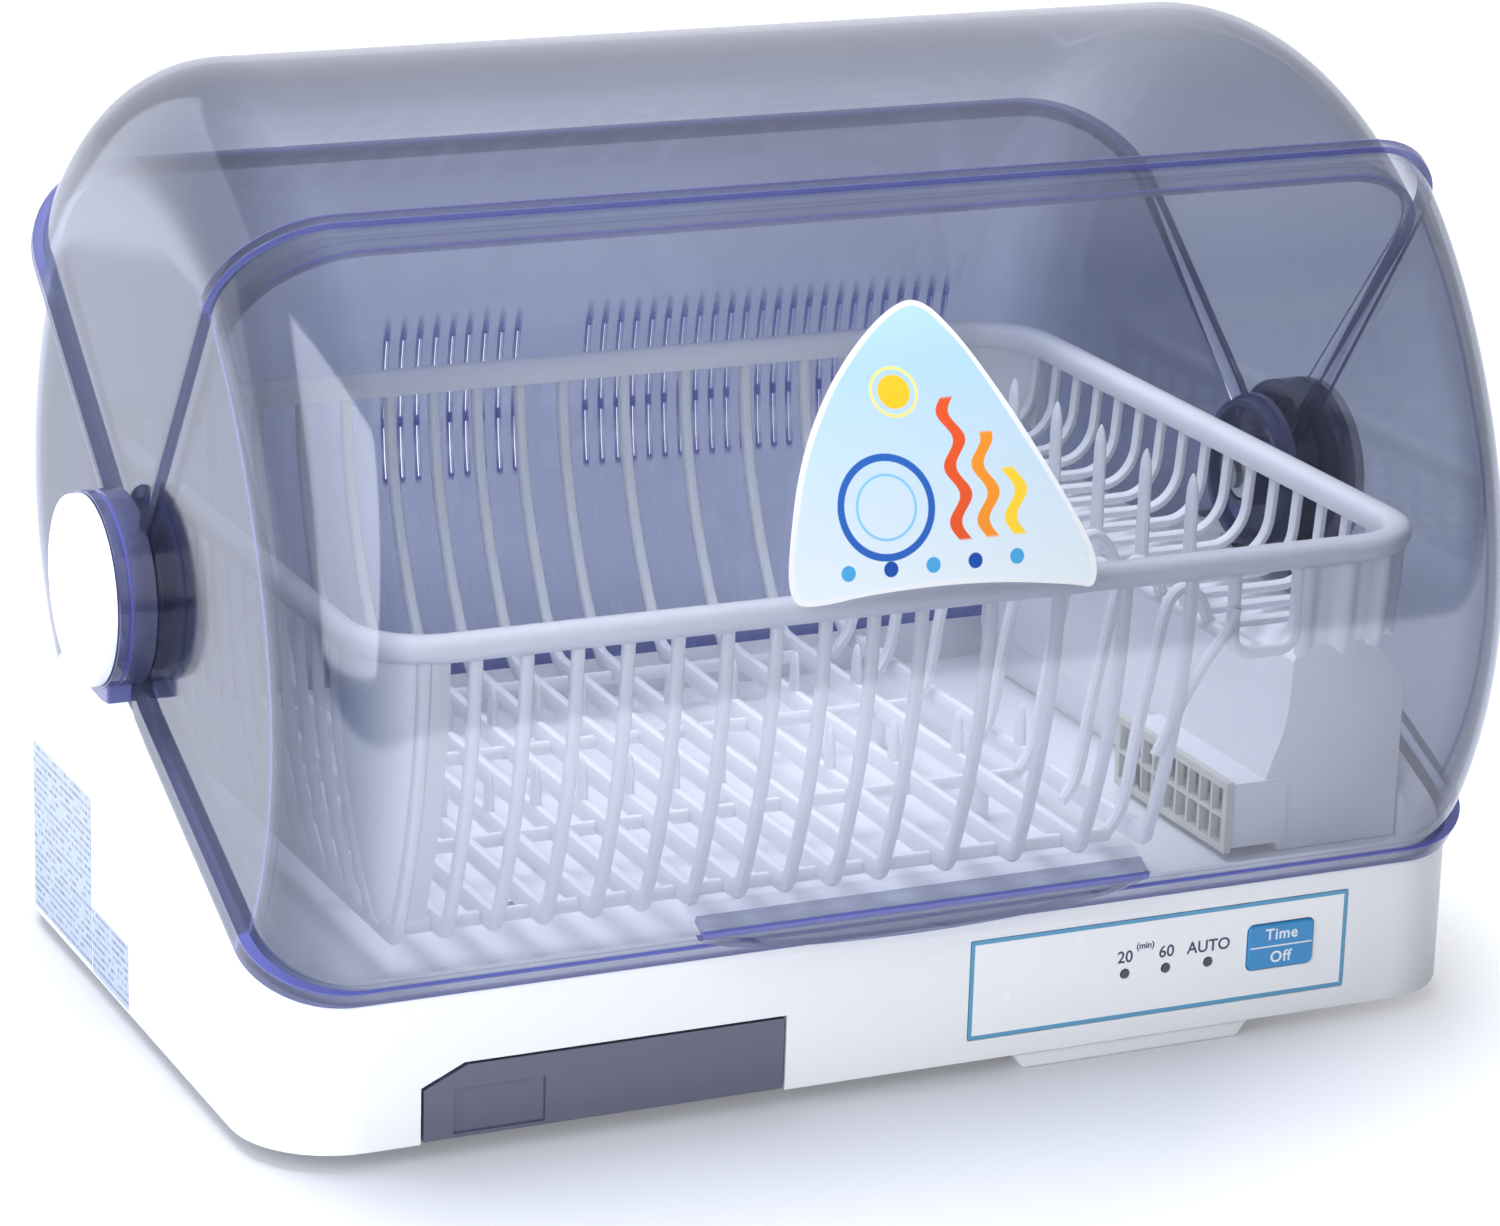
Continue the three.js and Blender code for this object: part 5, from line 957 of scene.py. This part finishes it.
CAMERA_AT = (-772.0, -1655.3, 709.1)
CAMERA_TURN = (-25.2, 17.5, 1.8)  # azimuth, elevation and roll in degrees
FOCAL_PIXELS, IMAGE_WIDTH, SENSOR = 5104.8, 1500, 36.0
LAMPS = (  # name, place, size, watts, colour, and whether mirrors show it
    ("key_softbox", (-0.72, -0.62, 0.52), 0.85, 8.0, "FFFFFF", True),
    ("top_softbox", (-0.3, 0.3, 2.0), 1.6, 70.0, "FFFFFF", False),
    ("left_card", (-0.8, 0.8, 0.42), 1.0, 3.5, "F2F5FF", True),
    ("front_card", (-0.08, -0.45, 0.03), 0.36, 0.3, "FFFFFF", False),
)


def add_object(name, data):
    made = bpy.data.objects.new(name, data)
    bpy.context.scene.collection.objects.link(made)
    return made


def add_camera():
    """The camera that the photo was taken with, fitted to the object's outline."""
    data = bpy.data.cameras.new("photo_camera")
    data.sensor_width = SENSOR
    data.lens = FOCAL_PIXELS * SENSOR / IMAGE_WIDTH
    data.clip_end = 30.0
    azimuth, elevation, roll = (math.radians(a) for a in CAMERA_TURN)
    level = math.cos(elevation)
    back = Vector((math.sin(azimuth) * level, -math.cos(azimuth) * level, math.sin(elevation)))
    right = Vector((0, 0, 1)).cross(back).normalized()
    up = back.cross(right)
    right, up = (math.cos(roll) * right + math.sin(roll) * up, -math.sin(roll) * right + math.cos(roll) * up)
    turn = Matrix((right, up, back)).transposed().to_4x4()
    camera = add_object("photo_camera", data)
    camera.matrix_world = Matrix.Translation(Vector(CAMERA_AT) * MM) @ turn
    bpy.context.scene.camera = camera


def seen_rays(tree):
    """Whether the backdrop is looked at, by the camera, in a mirror or through something, and whether in a
    mirror."""
    path = add(tree, "LightPath")
    mirrored = path["Is Glossy Ray"]
    direct = add(tree, "Math", {0: path["Is Camera Ray"], 1: mirrored}, operation="MAXIMUM")[0]
    seen = add(tree, "Math", {0: direct, 1: path["Is Transmission Ray"]}, operation="MAXIMUM")[0]
    return seen, mirrored


def studio_floor(tree):
    """A pale floor with a painted glow that grows to white as 2 (X + 0.05)^2 + Y^2 grows, in square metres.
    The glow is weaker near the object, which paints shade round it and keeps the lamps' shadow. In mirrors it
    shows a painted reflection: white in front and on the left up to a table's edge that only mirrors see, and
    dark past that."""
    seen, mirrored = seen_rays(tree)
    x, y, _ = add(tree, "SeparateXYZ", {0: add(tree, "TexCoord")["Object"]})
    beyond = add(tree, "Math", {0: x, 1: 0.05}, operation="ADD")[0]
    squares = [add(tree, "Math", {0: way, 1: way}, operation="MULTIPLY")[0] for way in (beyond, y)]
    away = add(tree, "Math", {0: squares[0], 1: 2.0, 2: squares[1]}, operation="MULTIPLY_ADD")[0]
    # the glow is weak near the object: painted shade round it
    share = add(tree, "MapRange", {"Value": away, "From Min": 0.08, "From Max": 0.32,
                                   "To Min": 0.17, "To Max": 0.85})[0]
    # painted reflection: a table's edge that only mirrors see, white before it and dark past it
    reflected_table_mask = add(tree, "MapRange", {"Value": y, "From Min": -0.66, "From Max": -0.62})[0]
    ahead = add(tree, "MapRange", {"Value": y, "From Min": -0.1, "From Max": -0.2})[0]
    beside = add(tree, "MapRange", {"Value": x, "From Min": -0.2, "From Max": -0.3})[0]
    painted_reflection_glow = add(tree, "Math", {0: ahead, 1: beside}, operation="MAXIMUM")[0]
    painted_reflection_glow = add(tree, "Math", {0: painted_reflection_glow, 1: share}, operation="MAXIMUM")[0]
    painted_reflection_glow = add(tree, "Math", {0: painted_reflection_glow, 1: reflected_table_mask}, operation="MULTIPLY")[0]
    shown = add(tree, "MixRGB", {"Fac": mirrored, "Color1": share, "Color2": painted_reflection_glow})[0]
    lift = add(tree, "Math", {0: seen, 1: shown}, operation="MULTIPLY")[0]
    glow = add(tree, "Emission", {"Color": "FFFFFF", "Strength": lift})[0]
    near = add(tree, "MixRGB", {"Fac": mirrored, "Color1": "FFFFFF", "Color2": reflected_table_mask})[0]
    # the dark diffuse shows only in mirrors, past the table's edge: painted reflection
    dark, pale = (add(tree, "BsdfDiffuse", {"Color": code})[0] for code in ("303238", "B6BAC4"))
    ground = add(tree, "MixShader", {0: near, 1: dark, 2: pale})[0]
    return add(tree, "AddShader", {0: ground, 1: glow})[0]


def add_floor():
    side = 6.0
    corners = [(-side, -side, 0), (side, -side, 0), (side, side, 0), (-side, side, 0)]
    mesh = bpy.data.meshes.new("floor")
    mesh.from_pydata(corners, [], [(0, 1, 2, 3)])
    mesh.materials.append(material("Pale studio floor", studio_floor))
    add_object("floor", mesh)


def add_world():
    """White surroundings that light the object softly. In mirrors they fade to dark in front of it."""
    world = bpy.data.worlds.new("Studio")
    bpy.context.scene.world = world
    world.use_nodes = True
    tree = world.node_tree
    tree.nodes.clear()
    seen, mirrored = seen_rays(tree)
    soft = add(tree, "Background", {"Color": "F8F9FC", "Strength": 0.26})[0]
    ahead = add(tree, "SeparateXYZ", {0: add(tree, "TexCoord")["Generated"]})["Y"]
    fade = add(tree, "MapRange", {"Value": ahead, "From Min": -0.35, "From Max": 0.1, "To Min": 0.12})[0]
    backdrop = add(tree, "MixRGB", {"Fac": mirrored, "Color1": "FFFFFF", "Color2": fade})[0]
    white = add(tree, "Background", {"Color": backdrop, "Strength": 1.0})[0]
    add(tree, "OutputWorld", {"Surface": add(tree, "MixShader", {0: seen, 1: soft, 2: white})[0]})


def add_lamps():
    for name, place, size, power, colour, mirrored in LAMPS:
        data = bpy.data.lights.new(name, "AREA")
        data.shape = "SQUARE"
        data.size = size
        data.energy = power
        data.color = linear(colour)
        lamp = add_object(name, data)
        lamp.visible_camera = False
        lamp.visible_glossy = mirrored
        lamp.location = place
        lamp.rotation_mode = "QUATERNION"
        lamp.rotation_quaternion = (Vector((0, 0, 0.15)) - Vector(place)).to_track_quat("-Z", "Y")


# Lettering on the control panel and on the button

def letters(name, text, height, x, z, y, body, finish, weight=0.1, spread=1.0):
    """Plain words as a thin raised print on an upright face, centred at X and Z."""
    curve = bpy.data.curves.new(name, "FONT")
    curve.body = text
    curve.size = height * MM * 1.4
    curve.space_character = spread
    curve.align_x, curve.align_y = "CENTER", "CENTER"
    curve.extrude = 0.02 * MM
    curve.offset = weight * MM
    curve.resolution_u = 4
    words = add_object(name + "_text", curve)
    bpy.context.view_layer.update()
    mesh = bpy.data.meshes.new_from_object(words.evaluated_get(bpy.context.evaluated_depsgraph_get()))
    bpy.data.objects.remove(words)
    mesh.transform(Matrix.Translation((x * MM, y * MM, z * MM)) @ Matrix.Rotation(math.pi / 2, 4, "X"))
    mesh.materials.clear()
    mesh.name = name
    return placed(name, mesh, body, finish)


# Operators

class DryerOperator:
    """What the operators share"""
    bl_options = {"REGISTER", "UNDO"}


class DRYER_OT_stage(DryerOperator, bpy.types.Operator):
    """Adds the camera, the floor, the soft lamps and the white surroundings"""
    bl_idname = "dryer.stage"
    bl_label = "Camera and stage"

    def execute(self, context):
        bpy.context.scene.view_settings.view_transform = "Standard"
        add_camera()
        add_floor()
        add_world()
        add_lamps()
        return {"FINISHED"}


class DRYER_OT_front_lid(DryerOperator, bpy.types.Operator):
    """Adds the front lid with its flange band, raised frame, hub rings and finger lip"""
    bl_idname = "dryer.front_lid"
    bl_label = "Front lid"

    def execute(self, context):
        clear = lid_styrene("front")
        make("front_lid_shell", front_lid_parts(), "front_lid", clear, ("front_lid",))
        make("front_lid_lip", [handle_part()], "front_lid", clear, ())
        return {"FINISHED"}


class DRYER_OT_upper_lid(DryerOperator, bpy.types.Operator):
    """Adds the upper lid with its two raised frames"""
    bl_idname = "dryer.upper_lid"
    bl_label = "Upper lid"

    def execute(self, context):
        make("upper_lid_shell", upper_lid_parts(), "upper_lid", lid_styrene("upper"), ("upper_lid",))
        return {"FINISHED"}


class DRYER_OT_rear_cover(DryerOperator, bpy.types.Operator):
    """Adds the fixed rear cover with its two rows of air slots"""
    bl_idname = "dryer.rear_cover"
    bl_label = "Rear cover"

    def execute(self, context):
        make("rear_cover_shell", rear_cover_parts(), "base", lid_styrene("rear"), ("rear_cover",))
        return {"FINISHED"}


class DRYER_OT_pivots(DryerOperator, bpy.types.Operator):
    """Adds the two white pivot caps"""
    bl_idname = "dryer.pivots"
    bl_label = "Pivot caps"

    def execute(self, context):
        white = moulded("Polished white ABS", "F6F7F9", 0.2, 0.9, 0.03)
        dome = [(r, 254.3 + 3.15 * (1 - (r / 34.5) ** 2.2)) for r in np.linspace(0, 33.6, 14)]
        edge = [(34.2, 254.35), (34.45, 253.9), (34.45, 250.4), (34.2, 250.35), (31.9, 250.35), (31.9, 252.6),
                (9.9, 252.6), (9.9, 218.6), (2.2, 218.6), (2.2, 230.0), (0.0, 230.0)]
        for word, side in (("left", -1), ("right", 1)):
            cap = turned(dome + edge, side, sides=96, closed=False)
            make(f"pivot_cap_{word}_dome", [cap], "base", white, (f"pivot_cap_{word}",), 40)
        return {"FINISHED"}


class DRYER_OT_basket(DryerOperator, bpy.types.Operator):
    """Adds the dish basket: rim, hoops, bars, prongs, shelf and corner sheets"""
    bl_idname = "dryer.basket"
    bl_label = "Dish basket"

    def execute(self, context):
        make("dish_basket_moulding", basket_parts(), "dish_basket", basket_polypropylene(), ("dish_basket",),
             40)
        return {"FINISHED"}


class DRYER_OT_base(DryerOperator, bpy.types.Operator):
    """Adds the base shell with rounded edges, and finishes its cover, feet, rail and screws"""
    bl_idname = "dryer.base"
    bl_label = "Base"

    def execute(self, context):
        white = moulded("Moulded white ABS", colours().base, 0.36, 0.6, 0.12)
        for node, width in (("base_shell", 1.6), ("front_foot_rail", 1.0), ("blower_cover", 2.2)):
            softened(node, "base", white, width)
        finish_nodes(white, "bottom_cover")
        finish_nodes(moulded("Moulded dark rubber", "2B2B2D", 0.8, 0.5, 0.3, 0.15), "foot_front_left",
                     "foot_front_right", "foot_rear_left", "foot_rear_right", "cord_grommet")
        finish_nodes(metal("Zinc-plated steel", "B9BCC0", 0.35, 0.4),
                     *(f"bottom_screw_{k}" for k in range(1, 5)),
                     "pivot_screw_left", "pivot_screw_right")
        finish_nodes(moulded("Moulded grey acetal", "C9C6BD", 0.4, 0.6, 0.06),
                     *(f"{place}_washer_{side}" for place in ("outer", "inner") for side
                       in ("left", "right")))
        return {"FINISHED"}


class DRYER_OT_label(DryerOperator, bpy.types.Operator):
    """Adds the two foil labels on the base's left side, with small marks that spell nothing"""
    bl_idname = "dryer.label"
    bl_label = "Side labels"

    def execute(self, context):
        sheets = []
        for y, z in (((39.5, 109.5), (9.0, 75.0)), ((-4.0, 38.0), (8.0, 33.0))):
            y, z = np.meshgrid(y, z, indexing="ij")
            sheets.append(walled(*(np.stack([np.full_like(y, x), y, z], -1) for x in (-239.2, -239.03))))
        make("side_labels", sheets, "base", material("Printed label foil", label_foil))
        return {"FINISHED"}


class DRYER_OT_outlet(DryerOperator, bpy.types.Operator):
    """Adds the warm-air outlet's grille"""
    bl_idname = "dryer.outlet"
    bl_label = "Outlet grille"

    def execute(self, context):
        softened("air_outlet_grille", "base", heat_resistant(), 0.4, 2)
        return {"FINISHED"}


class DRYER_OT_tray(DryerOperator, bpy.types.Operator):
    """Adds the smoky drip tray"""
    bl_idname = "dryer.tray"
    bl_label = "Drip tray"

    def execute(self, context):
        smoky = material("Smoky violet styrene", clear_plastic, colours().tray, "6F6C8C", "4C4970", "6F6E88",
                         0.5, 0.7, 0.08)
        softened("drip_tray", "drip_tray", smoky, 0.4, 2)
        return {"FINISHED"}


class DRYER_OT_panel(DryerOperator, bpy.types.Operator):
    """Finishes the control panel and its lamps, and adds the button and the plain lettering"""
    bl_idname = "dryer.control_panel"
    bl_label = "Control panel"

    def execute(self, context):
        finish_nodes(material("Printed polyester overlay", printed_overlay), "control_panel")
        finish_nodes(moulded("Dark indicator lens", "3A3F46", 0.18, 0.9, 0.02, 0.1), "lamp_20", "lamp_60",
                     "lamp_auto")
        softened("time_off_button", "time_off_button", moulded("Moulded blue ABS", colours().button, 0.3, 0.6,
                                                               0.06),
                 0.7)
        ink = printed_ink("Printed dark blue ink", "33405E")
        face = (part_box("control_panel")[0] / MM).y - 0.02
        words = (("20", 89.6, 38.4, 4.6), ("60", 106.7, 38.4, 4.6), ("AUTO", 124.3, 38.2, 4.6),
                 ("(min)", 97.8, 42.0, 2.5))
        for k, (text, x, z, height) in enumerate(words):
            letters(f"panel_word_{k + 1}", text, height, x, z, face, "base", ink)
        white = printed_ink("Printed white ink", "F2F5F8")
        low, high = (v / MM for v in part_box("time_off_button"))
        for text, z in (("Time", 39.4), ("Off", 30.4)):
            letters(f"button_word_{text.lower()}", text, 4.4, (low.x + high.x) / 2, z, low.y - 0.02,
                    "time_off_button",
                    white, 0.12, 1.1)
        line = [(x, low.y + 0.01, 34.9) for x in np.linspace(low.x + 0.8, high.x - 0.8, 3)]
        make("button_line", [swept(line, Z_AXIS, 0.3, 0.04, 8)], "time_off_button", white)
        return {"FINISHED"}


class DRYER_OT_card(DryerOperator, bpy.types.Operator):
    """Adds the printed card on the front lid, with a plain design"""
    bl_idname = "dryer.card"
    bl_label = "Printed card"

    def execute(self, context):
        build_card()
        return {"FINISHED"}


class DRYER_OT_inside(DryerOperator, bpy.types.Operator):
    """Finishes the blower, heater, wiring and board inside the base"""
    bl_idname = "dryer.inside"
    bl_label = "Inner pieces"

    def execute(self, context):
        finish_nodes(heat_resistant(), "fan_housing", "fan_wheel")
        finish_nodes(metal("Zinc-plated steel", "B9BCC0", 0.35, 0.4), "fan_motor", "motor_mount")
        finish_nodes(metal("Ground steel bar", "C6C8CC", 0.22, 0.3, (1, 1, 0.05)), "motor_shaft")
        finish_nodes(moulded("Pressed mica board", "D8C9A4", 0.6, 1.2, 0.3, 0.2), "heater_frame")
        finish_nodes(metal("Drawn resistance wire", "8F8A86", 0.4, 0.5), "heater_element")
        finish_nodes(moulded("Moulded dark phenolic", "3A3330", 0.4, 0.6, 0.1, 0.15), "thermostat")
        finish_nodes(moulded("Moulded cream nylon", "E9E7DE", 0.45, 0.6, 0.1), "terminal_block")
        finish_nodes(moulded("Moulded black nylon", "35363A", 0.4, 0.6, 0.1, 0.15), "key_switch")
        finish_nodes(moulded("Glass-fibre board with green lacquer", "2D6B44", 0.35, 1.0, 0.1, 0.25, 0.4),
                     "control_board")
        return {"FINISHED"}


def heat_resistant():
    return moulded("Moulded heat-resistant polyester", colours().grille, 0.5, 0.6, 0.12)


OPERATORS = (DRYER_OT_stage, DRYER_OT_front_lid, DRYER_OT_upper_lid, DRYER_OT_rear_cover, DRYER_OT_pivots,
             DRYER_OT_basket, DRYER_OT_base, DRYER_OT_label, DRYER_OT_outlet, DRYER_OT_tray, DRYER_OT_panel,
             DRYER_OT_card, DRYER_OT_inside)


class DRYER_PT_panel(bpy.types.Panel):
    """Lists the pieces of the dish dryer"""
    bl_idname = "DRYER_PT_panel"
    bl_label = "Dish Dryer"
    bl_space_type = "VIEW_3D"
    bl_region_type = "UI"
    bl_category = "Dish Dryer"

    def draw(self, context):
        for operator in OPERATORS:
            self.layout.operator(operator.bl_idname)
        for group in (context.scene.dryer_sizes, context.scene.dryer_colours):
            for name in group.__annotations__:
                self.layout.prop(group, name)


CLASSES = (DryerSizes, DryerColours, *OPERATORS, DRYER_PT_panel)


def register():
    for cls in CLASSES:
        bpy.utils.register_class(cls)
    bpy.types.Scene.dryer_sizes = bpy.props.PointerProperty(type=DryerSizes)
    bpy.types.Scene.dryer_colours = bpy.props.PointerProperty(type=DryerColours)


def unregister():
    del bpy.types.Scene.dryer_sizes, bpy.types.Scene.dryer_colours
    for cls in reversed(CLASSES):
        bpy.utils.unregister_class(cls)


def main():
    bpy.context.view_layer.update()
    register()
    for operator in OPERATORS:
        group, name = operator.bl_idname.split(".")
        getattr(getattr(bpy.ops, group), name)()


if __name__ == "__main__":
    main()
